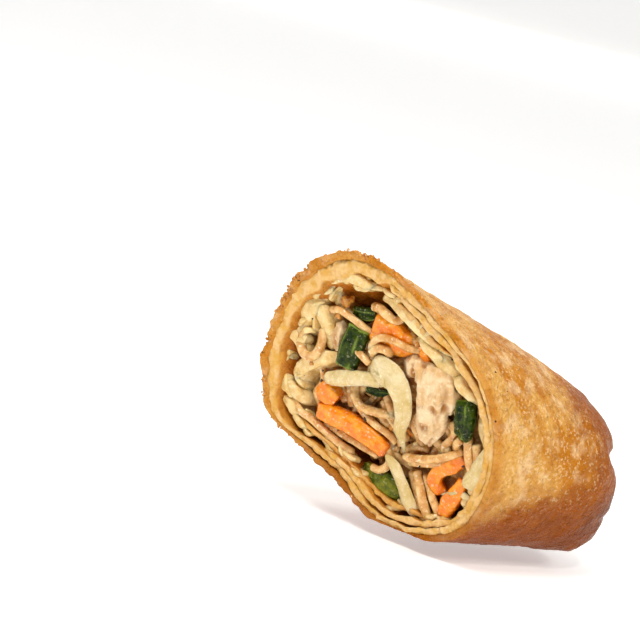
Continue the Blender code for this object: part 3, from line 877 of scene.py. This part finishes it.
# %% Carrot strips
CARROTS = [
    # name, width, thickness, twist in degrees, path of (across, up, depth, share of the width)
    ("carrot_top_piece", 4.9, 2.6, 0,
     [(-5.5, 10.3, 2.9, 0.95), (-2.6, 9.7, 2.6, 1.05), (-0.3, 9.1, 2.8, 0.95), (1.7, 9.3, 3.4, 0.55)]),
    ("carrot_sliver_piece", 1.6, 1.5, 0,
     [(3.3, 9.7, 2.9, 0.8), (3.9, 8.4, 2.8, 1.0), (4.6, 7.0, 3.1, 0.6)]),
    ("carrot_long_piece", 3.1, 2.5, 20,
     [(-13.9, -6.5, 2.3, 0.9), (-10.5, -6.5, 1.9, 1.0), (-7.0, -6.8, 1.8, 1.0), (-3.6, -7.8, 2.1, 0.95),
      (-0.6, -9.6, 2.6, 0.75)]),
    ("carrot_knob_piece", 3.2, 2.4, 0,
     [(-13.7, -2.4, 2.7, 0.8), (-12.4, -3.2, 2.3, 1.1), (-10.7, -4.2, 2.7, 0.8)]),
    ("carrot_curl_piece", 2.3, 2.0, 30,
     [(12.9, -6.0, 3.4, 0.8), (11.2, -7.6, 3.0, 1.0), (9.0, -9.2, 2.7, 1.0), (8.2, -11.3, 2.9, 1.0),
      (9.3, -13.4, 3.6, 0.8)]),
    ("carrot_short_piece", 2.5, 2.4, 0,
     [(13.6, -9.2, 2.7, 0.7), (12.7, -11.6, 2.1, 1.0), (11.6, -13.8, 2.1, 1.05), (10.8, -16.0, 2.6, 0.85)]),
]
for i, (name, width, thick, twist, path) in enumerate(CARROTS):
    cut_piece(name, "carrot", width, thick, twist, 101 + 2 * i, path)

# %% [markdown]
# ## Scallion
# Scallion is cut across into short lengths, and heat lays its tube flat. The dark green tops are
# nearly black where they are wet; one lower length from nearer the bulb is lighter.

# %% Scallion pieces
SCALLIONS = [
    # name, kind, width, thickness, twist in degrees, path of (across, up, depth, share of the width)
    ("scallion_top_piece", "scallion", 3.9, 2.0, 14,
     [(-7.6, 9.4, 1.9, 0.98), (-8.3, 6.4, 1.3, 1.0), (-9.4, 2.2, 1.8, 0.92)]),
    ("scallion_back_piece", "scallion", 2.2, 1.6, 0,
     [(-9.7, 11.2, 3.2, 0.7), (-7.6, 11.5, 2.7, 1.0), (-5.5, 11.9, 3.1, 0.9)]),
    ("scallion_dark_piece", "scallion", 1.5, 1.4, 0,
     [(-1.2, 12.9, 3.6, 0.8), (0.2, 12.5, 3.4, 1.0), (1.8, 11.8, 3.8, 0.7)]),
    ("scallion_right_piece", "scallion", 3.7, 2.0, -15,
     [(12.1, 3.9, 2.3, 0.8), (12.6, 2.2, 1.7, 1.0), (12.8, 0.0, 1.6, 1.0), (12.3, -2.3, 2.3, 0.8)]),
    ("scallion_middle_piece", "scallion", 1.5, 1.2, 0,
     [(-6.1, -0.8, 3.3, 0.8), (-4.0, -0.6, 2.9, 1.0), (-1.6, -0.2, 3.2, 0.8)]),
    ("scallion_low_piece", "leaf", 3.4, 1.8, 15,
     [(-5.0, -13.2, 3.0, 0.5), (-2.6, -13.9, 2.4, 0.95), (0.2, -14.6, 2.3, 1.05), (3.0, -15.6, 2.9, 0.8)]),
]
for i, (name, kind, width, thick, twist, path) in enumerate(SCALLIONS):
    cut_piece(name, kind, width, thick, twist, 121 + 2 * i, path)

# %% [markdown]
# ## Cabbage
# Shredded cabbage goes limp in the pan: thin, pale and curled, wider where the leaf was thick and
# ending in a point. The long curl in the middle needs more rows than the others to bend smoothly.

# %% Cabbage leaves
CURL_ROWS = 90
CABBAGES = [
    # name, width, thickness, twist in degrees, rows, path of (across, up, depth, share of the width)
    ("cabbage_left_piece", 2.5, 1.0, 12, PIECE_ROWS,
     [(-12.9, -1.4, 1.9, 0.7), (-11.2, -0.2, 1.3, 1.0), (-8.2, 0.9, 0.9, 1.05), (-4.9, 1.9, 0.9, 1.0),
      (-1.6, 2.1, 1.4, 0.8)]),
    ("cabbage_curl_piece", 3.3, 0.9, 25, CURL_ROWS,
     [(-4.4, 4.6, 1.1, 0.8), (-2.0, 5.0, 0.5, 1.1), (0.6, 3.9, 0.2, 1.2), (2.2, 1.4, 0.3, 1.0),
      (2.5, -1.6, 0.6, 0.8), (2.0, -4.6, 1.1, 0.55), (2.9, -8.0, 1.7, 0.32)]),
    ("cabbage_right_piece", 3.2, 0.8, -20, PIECE_ROWS,
     [(17.3, -2.0, 2.2, 0.4), (17.0, -4.6, 1.5, 0.9), (16.0, -7.2, 1.2, 1.1), (14.0, -9.4, 1.4, 0.7)]),
    ("cabbage_low_piece", 2.1, 1.2, 10, PIECE_ROWS,
     [(-0.6, -9.7, 2.1, 0.7), (1.8, -11.3, 1.5, 1.0), (3.6, -13.8, 1.4, 1.1), (4.9, -16.2, 1.6, 1.1),
      (6.2, -18.3, 2.2, 0.7)]),
]
CABBAGE_BITS = [
    ("cabbage_leaf", 3.0, 0.8, 30, PIECE_ROWS,
     [(-5.0, 3.0, 1.9, 0.6), (-3.4, 3.4, 1.3, 1.0), (-1.0, 3.2, 1.1, 1.0), (1.2, 1.6, 1.4, 0.7)]),
    ("cabbage_shred", 1.3, 0.8, 0, PIECE_ROWS,
     [(12.6, -11.4, 1.7, 0.4), (14.2, -11.2, 1.5, 1.0), (16.2, -11.8, 1.9, 0.6)]),
    ("cabbage_splinter", 0.9, 0.6, 0, PIECE_ROWS,
     [(10.4, -12.2, 1.2, 0.3), (11.8, -11.6, 1.0, 1.0), (13.4, -10.9, 1.3, 0.3)]),
]
for first_seed, strips in ((141, CABBAGES), (151, CABBAGE_BITS)):
    for i, (name, width, thick, twist, rows, path) in enumerate(strips):
        cut_piece(name, "cabbage", width, thick, twist, first_seed + 2 * i, path, rows)

# %% [markdown]
# ## Chicken
# Chicken breast tears along its fibres, so a piece has an irregular outline, a grooved face and
# frayed ends. One swept body would be too regular, so several rounded ones are fused into one even
# skin first, with the voxel remesher, then grooves are pressed in along the grain.

# %% Fused bodies
GRAIN = 0.22        # size of the cells that overlapping bodies are fused in


def fused(bodies):
    """One even mesh over several overlapping bodies."""
    points, faces = joined(bodies)
    mesh = bpy.data.meshes.new("block")
    mesh.from_pydata(points.tolist(), [], faces)
    block = bpy.data.objects.new("block", mesh)
    bpy.context.scene.collection.objects.link(block)
    remesh = block.modifiers.new("even", "REMESH")
    remesh.mode, remesh.voxel_size = "VOXEL", GRAIN
    soft = block.modifiers.new("soft", "SMOOTH")
    soft.factor, soft.iterations = 0.5, 6
    even = block.evaluated_get(bpy.context.evaluated_depsgraph_get()).to_mesh()
    points = np.array([v.co[:] for v in even.vertices])
    normals = np.array([v.normal[:] for v in even.vertices])
    faces = [tuple(p.vertices) for p in even.polygons]
    bpy.data.objects.remove(block)
    bpy.data.meshes.remove(mesh)
    return points, normals, faces


def torn(name, blobs, grain_way, seed, stands_for=()):
    """A torn piece of meat: grooves run along grain_way, an (across, up) direction."""
    bodies = [swept(path, width, thick, 2.4, 0, 24, 18, 0.2) for width, thick, path in blobs]
    points, normals, faces = fused(bodies)
    along = unit(ACROSS * grain_way[0] + UP * grain_way[1])
    over = unit(np.cross(along, INTO))
    place = points - MOUTH
    bend = 0.5 * rough(points, 3.0, seed)
    fibre = np.stack([place @ over + bend, place @ INTO, place @ along * 0.16], -1)
    groove = rough(fibre, 1.0, seed + 1)
    pits = pimples(points, 1.9, seed + 2, 0.5)
    relief = 0.45 * groove + 0.22 * rough(fibre, 0.42, seed + 3)
    relief = relief + 0.30 * rough(points, 1.6, seed + 4) - 0.6 * pits
    points = points + normals * relief[:, None]
    # Painted shade in the pits and low grooves, with some random tone; the chicken finish tints these brown.
    recess_shade_and_tone = np.clip(0.7 * pits - 0.8 * groove + 0.5 * rough(points, 2.5, seed + 5), 0, 1)
    return make(name, points, faces, chicken_finish, "chicken", stands_for, tip=recess_shade_and_tone)


print("fused bodies have cells of", GRAIN, "mm")

# %% Torn pieces
torn("chicken_breast_piece", [
    (5.4, 3.4, [(7.2, 7.0, 2.5, 0.6), (7.0, 5.0, 2.0, 1.05), (7.0, 2.8, 1.8, 1.15), (6.6, 0.4, 2.0, 1.0),
                (6.4, -2.4, 2.2, 0.9), (6.6, -5.8, 2.8, 0.55)]),
    (3.0, 2.8, [(0.3, 5.9, 3.0, 0.6), (2.0, 6.0, 2.5, 1.1), (4.4, 5.6, 2.2, 1.2), (7.2, 6.2, 2.2, 1.0),
                (9.3, 5.6, 2.8, 0.6)]),
    (2.2, 2.2, [(9.6, 4.6, 2.7, 0.9), (9.6, 2.4, 2.5, 1.1), (8.6, 0.4, 2.6, 0.8)]),
    (2.2, 2.2, [(4.4, -1.4, 2.8, 0.6), (5.0, -3.6, 2.6, 1.0), (6.2, -5.6, 2.8, 0.7)]),
], (0.18, -1.0), 201, ("chicken_large",))
torn("chicken_scrap_piece", [
    (2.4, 2.0, [(-11.0, 9.0, 2.9, 0.6), (-11.7, 7.4, 2.4, 1.0), (-12.0, 5.8, 2.4, 1.0), (-11.3, 3.6, 2.9, 0.7)]),
    (1.6, 1.6, [(-11.0, 8.4, 2.6, 0.7), (-10.7, 6.6, 2.6, 1.0), (-11.0, 4.8, 2.8, 0.7)]),
], (0.1, -1.0), 211, ("chicken_small",))
torn("chicken_crumb", [
    (1.5, 1.3, [(-4.4, -8.9, 4.2, 0.6), (-3.0, -9.3, 3.9, 1.0), (-1.6, -9.7, 4.2, 0.6)]),
], (1, 0), 221)

# %% [markdown]
# ## Noodles
# Cooked glass noodles are round strings a little over a millimetre thick. The ones that show are laid
# one by one along the face; loose ones are drawn at random behind them, each one kept only where it
# lies inside the bundle. All of them are one body of strings, since that is how they lie in the roll: a
# tangle. Those that lie deeper are tinted darker brown, as painted shade.

# %% Noodles
LAID = [      # each noodle runs through places given as across, up, depth
    [(2.4, -9.3, 2.6), (5.0, -8.3, 1.5), (8.0, -7.2, 1.3), (10.6, -6.0, 1.7), (12.6, -4.6, 2.6)],
    [(3.2, -10.0, 3.0), (6.0, -8.9, 2.2), (9.0, -8.0, 2.4), (11.4, -6.6, 3.2)],
    [(13.2, -1.6, 2.4), (13.9, -4.4, 1.7), (14.6, -6.8, 1.9), (15.2, -8.6, 2.8)],
    [(14.6, -2.8, 2.6), (15.4, -5.0, 2.2), (15.6, -7.2, 2.8)],
    [(12.3, -2.6, 2.0), (11.7, -3.6, 1.8), (11.3, -4.8, 2.8)],
    [(-8.1, -0.6, 3.0), (-7.5, -2.2, 2.3), (-6.0, -3.4, 2.0), (-3.6, -3.4, 1.9), (-1.2, -3.2, 2.3),
     (0.4, -2.6, 3.2)],
    [(-8.0, -3.2, 3.2), (-5.6, -4.6, 2.4), (-3.0, -5.6, 2.1), (-1.0, -6.6, 2.6), (0.2, -8.0, 3.4)],
    [(-2.2, -0.6, 3.0), (-1.0, -2.0, 2.5), (-0.2, -3.8, 2.7)],
    [(-3.0, -1.6, 3.2), (-1.6, -3.6, 2.9), (0.8, -5.6, 2.8), (1.4, -8.0, 3.0)],
    [(-17.4, 6.2, 2.3), (-17.7, 3.8, 1.4), (-16.8, 2.2, 1.1), (-15.0, 2.4, 1.1), (-14.1, 4.4, 1.4),
     (-14.3, 7.2, 2.1)],
    [(-4.4, 5.8, 1.2), (-4.4, 7.8, 0.7), (-3.2, 9.4, 0.6), (-1.0, 9.7, 0.8), (1.2, 9.0, 1.6), (3.4, 8.6, 3.0)],
    [(-4.6, 6.6, 0.9), (-3.4, 7.6, 0.7), (-2.0, 7.7, 0.9), (-1.4, 6.9, 1.6)],
    [(-7.6, 5.8, 1.5), (-6.2, 5.4, 0.9), (-4.6, 4.6, 0.9)],
    [(-6.0, 13.1, 2.7), (-4.6, 13.4, 2.0), (-2.9, 13.0, 1.7), (-1.5, 12.4, 2.0), (-0.7, 13.2, 2.8)],
    [(-13.6, 10.2, 2.4), (-11.6, 11.0, 1.7), (-9.4, 10.6, 1.6), (-7.4, 9.8, 1.8), (-5.6, 8.6, 2.6)],
    [(4.8, -10.6, 2.6), (6.2, -13.2, 2.0), (7.4, -15.8, 1.9), (8.4, -18.4, 2.5)],
    [(6.2, -10.8, 3.0), (7.9, -13.4, 2.4), (9.4, -15.8, 2.3), (10.0, -18.0, 2.9)],
    [(3.6, -11.2, 3.2), (5.2, -14.0, 2.8), (6.4, -16.8, 2.6), (7.0, -18.8, 3.0)],
    [(-19.3, -5.6, 2.4), (-17.2, -7.6, 1.7), (-14.6, -8.4, 1.6), (-12.0, -9.6, 1.7), (-9.0, -10.8, 1.7),
     (-6.6, -11.9, 2.5)],
    [(-14.6, -9.4, 2.6), (-11.6, -10.6, 2.2), (-8.8, -11.6, 2.3), (-6.4, -12.8, 3.0)],
    [(-13.0, -8.8, 3.0), (-9.6, -9.4, 2.6), (-5.6, -10.2, 2.7), (-2.4, -11.2, 3.2)],
    [(-0.8, -8.8, 3.0), (0.0, -11.0, 2.3), (-1.2, -12.6, 2.0), (-3.0, -12.9, 2.3)],
    [(0.6, 10.8, 3.2), (2.0, 9.9, 2.9), (3.4, 10.6, 2.9), (5.0, 9.6, 3.2)],
    [(9.6, -1.0, 3.6), (10.4, -3.0, 3.0), (9.0, -5.6, 3.0), (10.6, -8.2, 3.6)],
    [(-14.6, 0.8, 3.0), (-13.6, -1.6, 2.6), (-14.6, -4.2, 2.6), (-13.6, -6.4, 3.2)],
]


def string(path, radius, seed, rows=46, columns=12):
    """One noodle along a path of (across, up, depth)."""
    def relief(body, across, front, step):
        return 0.10 * radius * rough(body, 1.1, seed) + 0.05 * rough(body, 2.6, seed + 1)
    line = [(*point, 1.0) for point in path]
    points, faces = swept(line, 2 * radius, 2 * radius, 2.0, 0, rows, columns, 0.04, relief)
    return kept_inside(points), faces


strings = [string(path, 0.66 + 0.08 * math.sin(3.0 * i), 300 + i) for i, path in enumerate(LAID)]
print(len(strings), "noodles laid by hand")

# %% Loose noodles
STRINGS, BUNDLE_REACH, BUNDLE_TOP, BENDS = 100, np.array([14.5, 13.5]), 11.5, 5
draw = np.random.default_rng(7)
while len(strings) < STRINGS:
    start = draw.uniform(-1, 1, 2)
    way, bend, length = draw.uniform(0, 2 * math.pi), draw.uniform(-0.35, 0.35), draw.uniform(5.0, 11.0)
    depth, tilt = draw.uniform(3.4, 4.8), draw.uniform(-0.15, 0.15)
    path, place = [], start * BUNDLE_REACH
    for k in range(BENDS):
        path.append((*(centre + place), depth + tilt * k * length / BENDS + draw.uniform(-0.3, 0.3)))
        place = place + np.array([math.cos(way), math.sin(way)]) * length / BENDS
        way += bend + draw.uniform(-0.3, 0.3)
    spots = (np.array(path)[:, :2] - centre) / BUNDLE_REACH
    if np.max(np.sum(spots**2, 1)) < 1.0 and max(p[1] for p in path) < BUNDLE_TOP:
        strings.append(string(path, draw.uniform(0.5, 0.72), 400 + len(strings), 26, 10))
points, faces = joined(strings)
# The tip value grows with depth into the cut and tints the noodles darker brown: painted shade.
make("glass_noodles", points, faces, noodle_finish, "noodles",
     tip=np.clip(((points - MOUTH) @ INTO - 2.8) / 2.6, 0, 1))

# %% [markdown]
# ## Torn folds of inner dough
# On the loose side of the roll the innermost turn has come away and hangs in pale curtains, with
# pockets of air behind them that are painted amber as shade; along the top it lies in ragged strips. A
# cloth simulation would drape a sheet, but these folds tore where steam burst them, so each is laid as a
# band of dough that stands on edge and runs back into the roll. Each band darkens toward amber the
# further back it runs: painted shade.

# %% Folds
BAND_SQUARE = 6.0       # a band's section is nearly a rectangle


def fold(width, deep, path, seed, rows=60, columns=30):
    """A band standing on edge along a path of across, up, front depth and share of the width."""
    def relief(body, across, front, step):
        flat_front = np.clip(1.3 - np.abs(front), 0.25, 1.0)
        return flat_front * (0.5 * rough(body, 2.2, seed) + 0.25 * rough(body, 0.9, seed + 1))
    line = [(a, u, front + deep / 2, share) for a, u, front, share in path]
    points, faces = swept(line, width, deep, BAND_SQUARE, 0, rows, columns, 0.12, relief)
    back = (points - MOUTH) @ INTO
    # The third value darkens each band toward amber the further back it lies: painted shade.
    return kept_inside(run_back(points)), faces, np.clip(back / 5.0 - 0.35, 0, 1)


def folds(name, bands, first_seed, **detail):
    """A piece of several bands; each is its width, how deep it runs back, and its path."""
    built = [fold(*band, seed=first_seed + 10 * i, **detail) for i, band in enumerate(bands)]
    points, faces = joined([b[:2] for b in built])
    return make(name, points, faces, steamed_finish, "pastry", tip=np.concatenate([b[2] for b in built]))


folds("hanging_folds", [
    (2.6, 5.0, [(-14.2, 13.6, 2.0, 0.4), (-15.6, 11.8, 1.4, 0.7), (-16.6, 9.8, 1.0, 1.1),
        (-17.4, 7.8, 1.1, 0.9), (-18.2, 5.4, 1.6, 0.5)]),
    (2.2, 4.6, [(-16.6, 10.6, 1.6, 0.6), (-14.9, 9.7, 1.2, 1.1), (-13.9, 8.0, 1.3, 1.0),
        (-13.6, 5.6, 1.7, 0.7), (-14.2, 3.8, 2.3, 0.4)]),
    (2.6, 5.0, [(-11.6, 3.6, 2.2, 0.5), (-13.4, 2.6, 1.5, 0.9), (-15.4, 1.4, 1.1, 1.1),
        (-17.0, -0.2, 1.2, 1.0), (-18.2, -2.4, 1.6, 0.8), (-17.6, -4.6, 2.4, 0.4)]),
    (1.9, 5.0, [(-21.4, 3.2, 1.3, 0.5), (-19.8, 4.6, 1.2, 1.0), (-18.4, 3.4, 1.3, 0.9),
        (-18.6, 1.6, 1.9, 0.5)]),
    (2.1, 5.0, [(-21.4, -3.6, 1.2, 0.6), (-19.8, -4.2, 1.0, 1.1), (-18.0, -5.0, 1.2, 1.0),
        (-16.8, -6.6, 1.7, 0.5)]),
    (1.8, 5.0, [(-20.6, -6.4, 1.0, 0.6), (-18.6, -7.2, 1.0, 1.0), (-17.2, -8.6, 1.4, 0.8),
        (-15.4, -9.0, 2.0, 0.4)]),
    (1.6, 6.0, [(-12.6, 15.4, 3.0, 0.4), (-13.8, 13.4, 2.8, 0.9), (-13.2, 11.6, 2.8, 0.9),
        (-12.0, 10.8, 3.2, 0.5)]),
], 513)
folds("ragged_strips", [
    (2.2, 5.0, [(-6.0, 15.6, 2.6, 0.3), (-3.0, 15.3, 1.4, 0.7), (0.0, 14.6, 0.9, 1.0),
        (3.4, 12.9, 0.9, 1.1), (6.4, 11.4, 1.2, 0.9), (8.6, 10.4, 1.8, 0.4)]),
    (2.8, 5.0, [(0.6, 12.8, 2.6, 0.3), (3.4, 11.3, 1.7, 0.9), (6.2, 9.6, 1.3, 1.0),
        (8.4, 7.9, 1.4, 0.8), (10.2, 6.6, 1.6, 0.7), (12.4, 5.8, 1.7, 0.8), (14.6, 4.9, 2.0, 0.6),
        (16.2, 3.6, 2.6, 0.3)]),
    (1.5, 4.0, [(2.2, 11.9, 2.0, 0.5), (4.6, 10.3, 1.0, 1.0), (6.8, 9.6, 0.9, 0.8),
        (8.0, 8.8, 1.5, 0.4)]),
    (1.7, 4.0, [(10.4, 7.4, 2.0, 0.4), (11.4, 6.2, 1.1, 1.1), (12.8, 5.2, 1.1, 1.0),
        (13.6, 4.2, 1.8, 0.4)]),
    (1.6, 4.0, [(14.4, 3.0, 2.4, 0.5), (15.2, 0.8, 2.0, 1.0), (15.6, -1.4, 2.2, 0.8),
        (15.4, -3.2, 2.8, 0.4)]),
    (1.3, 3.4, [(-14.4, 14.6, 1.2, 0.4), (-12.2, 16.0, 0.7, 0.9), (-10.2, 17.2, 0.3, 1.1),
        (-8.2, 17.4, 0.2, 1.2), (-6.4, 17.0, 0.4, 0.9), (-4.4, 16.9, 1.0, 0.4)]),
    (1.1, 2.4, [(-9.4, 16.0, 1.2, 0.4), (-8.0, 15.9, 0.6, 0.9), (-6.4, 16.6, 0.5, 1.0),
        (-5.2, 17.6, 0.8, 0.6)]),
], 513)

# %% [markdown]
# ## Torn shreds
# Where the knife dragged, the inner edge of the dough frays into many small shreds. They are strewn
# at random along the edge, more of them on the side where the layers are loose, and each is a short
# band of the same kind as the folds.

# %% Torn shreds along the inner edge
SHREDS = 64
SHRED_SPANS, SHRED_SHARES = ((-45, 60), (60, 150), (200, 320)), (0.4, 0.4, 0.2)     # degrees round the rim
draw = np.random.default_rng(11)
shreds = []
while len(shreds) < SHREDS:
    angle = math.radians(draw.choice([draw.uniform(*span) for span in SHRED_SPANS], p=SHRED_SHARES))
    inset = draw.uniform(2.4, 4.2) if math.cos(angle) < 0.9 else draw.uniform(2.6, 5.5)
    x = float(rim_x(np.array(angle), inset))
    y, z = section(x, np.array(angle), inset)
    spot = np.array([x, float(y), float(z)]) - MOUTH
    across, up = spot @ ACROSS, spot @ UP
    way = math.atan2(up, across) + math.pi / 2 + draw.uniform(-0.7, 0.7)
    length, front = draw.uniform(1.6, 4.2), draw.uniform(0.4, 1.6)
    path = [(across + math.cos(way) * length * t + draw.uniform(-0.25, 0.25),
             up + math.sin(way) * length * t + draw.uniform(-0.25, 0.25), front + abs(t) * 0.8, 1.0 - abs(t))
            for t in (-0.5, -0.2, 0.1, 0.5)]
    shreds.append((draw.uniform(0.5, 1.3), draw.uniform(1.6, 3.0), path))
folds("torn_shreds", shreds, 511, rows=18, columns=14)

# %% [markdown]
# ## Crumbs and pepper
# The rim of a cut fried crust breaks into coarse golden crumbs. A few crumbs also fell into the
# filling, with ground pepper. Particles would scatter them quickly, but each crumb here is real mesh,
# so it stays in the model wherever the model goes; all crumbs are one piece and all pepper another.

# %% Crumbs and pepper
def lump(middle, size, seed, rows=9, columns=10):
    """A small irregular lump of about the given size across."""
    up = np.linspace(0.04, 0.96, rows)[:, None] * np.pi
    up, around = np.broadcast_arrays(up, np.linspace(0, 2 * np.pi, columns, endpoint=False))
    way = np.stack([np.sin(up) * np.cos(around), np.sin(up) * np.sin(around), np.cos(up)], -1)
    reach = size / 2 * (1 + 0.55 * rough(way + seed, 0.7, seed))
    body = middle + way * reach[..., None]
    count = rows * columns
    points = np.vstack([body.reshape(-1, 3), body[0].mean(0), body[-1].mean(0)])
    return points, tube_faces(rows, columns) + caps(rows, columns, count, count + 1)


CRUMBS = 700
lumps = []
while len(lumps) < CRUMBS:
    angle = math.radians(draw.normal(35.0, 48.0))
    if draw.uniform() > 0.25 + 0.75 * float(bell(np.array(angle), 45.0, 75.0)):
        continue
    inset, depth = draw.uniform(-0.15, 0.6), draw.uniform(-0.1, 0.4)
    if draw.uniform() < 0.15:
        inset, depth = draw.uniform(-0.1, 0.08), draw.uniform(0.3, 2.0)
    x = rim_x(np.array(angle), inset, depth)
    y, z = section(x, np.array(angle), inset)
    spot = np.array([float(x), float(y), float(z)])
    lumps.append(lump(spot, draw.uniform(0.22, 0.62), 600 + len(lumps), 6, 8))
fallen = [      # across, up, depth, size
    (-10.8, 12.6, 2.3, 1.7), (-10.2, 13.0, 2.6, 1.1), (-11.6, 12.2, 2.9, 1.0), (-11.4, 10.2, 1.3, 0.9),
    (-1.2, -6.2, 2.6, 1.0), (-0.6, -5.4, 2.8, 0.8), (-15.2, 1.0, 1.0, 0.7), (3.0, 10.2, 1.4, 0.7),
]
lumps += [lump(on_face(a, u, d), size, 700 + i) for i, (a, u, d, size) in enumerate(fallen)]
make("crust_crumbs", *joined(lumps), crumb_finish, "pastry", tip=np.zeros(sum(len(one[0]) for one in lumps)))

# %% Ground pepper
HUSK, CORE = (0.02, 0.012, 0.008), (0.09, 0.05, 0.025)


def pepper_finish():
    f = Finish("ground pepper")
    return f.surface(f.blend(f.noise(0.2, 3.0), HUSK, CORE), 0.55)


grains = [      # across, up, depth, size
    (-4.9, -5.0, 1.6, 0.55), (-4.5, -5.2, 1.7, 0.35), (-13.6, -1.6, 2.0, 0.5), (-13.2, 0.4, 1.3, 0.3),
    (1.4, 8.6, 2.0, 0.3), (-2.4, 1.2, 0.9, 0.3), (13.4, -6.6, 1.6, 0.4), (-9.0, -8.2, 0.8, 0.3),
    (6.0, -9.2, 1.4, 0.3), (-15.9, 8.4, 1.0, 0.3), (-0.6, -13.0, 1.6, 0.3), (8.9, 9.4, 2.2, 0.3),
]
specks = [lump(on_face(a, u, d), size, 800 + i, 6, 7) for i, (a, u, d, size) in enumerate(grains)]
make("ground_pepper", *joined(specks), pepper_finish(), "noodles")

# %% [markdown]
# ## Floor
# A seamless pale floor curves up into a backdrop far behind, as a sheet of studio paper does. It
# glows a little of itself, which keeps it white without a light strong enough to bleach the food.

# %% Floor
SWEEP = [(-900.0, 0.0), (700.0, 0.0), (900.0, 40.0), (1050.0, 160.0), (1120.0, 400.0), (1120.0, 1500.0)]
SWEEP_ROWS, SWEEP_COLUMNS, SWEEP_REACH = 60, 40, 2500.0
VIEW_AZIMUTH = -35.0


def make_floor():
    f = Finish("pale floor")
    finish = f.surface(f.blend(f.noise(90.0, 6.0, 1.0), (0.93, 0.93, 0.93), (0.95, 0.95, 0.95)), 0.7,
                       Emission_Color=(1.0, 1.0, 1.0, 1.0), Emission_Strength=0.40)
    side = np.linspace(-SWEEP_REACH, SWEEP_REACH, SWEEP_COLUMNS)
    points = [((s - SHIFT[0]) * MM, y * MM, z * MM) for y, z in spline(SWEEP, SWEEP_ROWS) for s in side]
    faces = [(r * SWEEP_COLUMNS + i, r * SWEEP_COLUMNS + i + 1, (r + 1) * SWEEP_COLUMNS + i + 1,
              (r + 1) * SWEEP_COLUMNS + i) for r in range(SWEEP_ROWS - 1) for i in range(SWEEP_COLUMNS - 1)]
    mesh = bpy.data.meshes.new("floor")
    mesh.from_pydata(points, [], faces)
    mesh.materials.append(finish)
    mesh.polygons.foreach_set("use_smooth", [True] * len(mesh.polygons))
    floor = bpy.data.objects.new("floor", mesh)
    floor.rotation_euler.z = math.radians(VIEW_AZIMUTH)
    bpy.context.scene.collection.objects.link(floor)
    print("floor", len(mesh.polygons), "faces")


make_floor()

# %% [markdown]
# ## Light
# Broad soft lamps give food its gentle shading: the main one stands high on the left, a weaker one
# fills from the right and one comes from behind. A small lamp adds the sharper glints that wet
# vegetables need. All are a little warm. The colours are shown as they are, with no film curve.

# %% Lights
LAMP_COLOUR, SKY_COLOUR, SKY_STRENGTH = (1.0, 0.965, 0.905), (1.0, 0.99, 0.97, 1.0), 0.18
AIM = Vector((0.0, 0.0, 0.018))
LAMPS = [
    # name, azimuth, elevation, distance, width, watts
    ("key", -60.0, 55.0, 600.0, 200.0, 1.85),
    ("fill", 30.0, 42.0, 700.0, 220.0, 1.45),
    ("top", -150.0, 70.0, 600.0, 300.0, 1.2),
    ("spark", -25.0, 50.0, 600.0, 45.0, 0.7),
]


def away(azimuth, elevation):
    """The direction from the roll toward a lamp or the camera, from angles in radians."""
    return Vector((math.sin(azimuth) * math.cos(elevation), -math.cos(azimuth) * math.cos(elevation),
                   math.sin(elevation)))


def soft_light(name, azimuth, elevation, distance, size, power):
    lamp = bpy.data.lights.new(name, "AREA")
    lamp.shape, lamp.size, lamp.energy = "DISK", size * MM, power
    lamp.color = LAMP_COLOUR
    light = bpy.data.objects.new(name, lamp)
    way = away(math.radians(azimuth), math.radians(elevation))
    light.location = AIM + way * distance * MM
    light.rotation_euler = way.to_track_quat("Z", "Y").to_euler()
    bpy.context.scene.collection.objects.link(light)


for lamp in LAMPS:
    soft_light(*lamp)
world = bpy.data.worlds.new("studio")
world.use_nodes = True
sky = world.node_tree.nodes["Background"].inputs
sky["Color"].default_value, sky["Strength"].default_value = SKY_COLOUR, SKY_STRENGTH
bpy.context.scene.world = world
bpy.context.scene.view_settings.view_transform = "Standard"
print("lamps:", [lamp[0] for lamp in LAMPS])

# %% [markdown]
# ## Camera
# A long lens close to table height looks slightly down into the mouth and keeps the shape free of
# stretching. The camera is rolled a little, so the half seems to lean.

# %% Camera
VIEW_ELEVATION, VIEW_ROLL, LENS = 10.0, -14.25, 155.9
VIEW_PLACE = (-261.45, -331.44, 101.86)


def make_camera():
    azimuth, elevation, roll = (math.radians(v) for v in (VIEW_AZIMUTH, VIEW_ELEVATION, VIEW_ROLL))
    back = away(azimuth, elevation)
    level = Vector((math.cos(azimuth), math.sin(azimuth), 0.0))
    upright = back.cross(level)
    right = level * math.cos(roll) - upright * math.sin(roll)
    up = upright * math.cos(roll) + level * math.sin(roll)
    lens = bpy.data.cameras.new("camera")
    lens.lens = LENS
    lens.clip_start, lens.clip_end = 0.01, 20.0
    camera = bpy.data.objects.new("camera", lens)
    turned = Matrix((right, up, back)).transposed().to_4x4()
    camera.matrix_world = Matrix.Translation(Vector(VIEW_PLACE) * MM) @ turned
    bpy.context.scene.collection.objects.link(camera)
    bpy.context.scene.camera = camera
    print("camera", round((Vector(VIEW_PLACE) * MM - AIM).length / MM), "mm away, lens", LENS)


make_camera()

# %% [markdown]
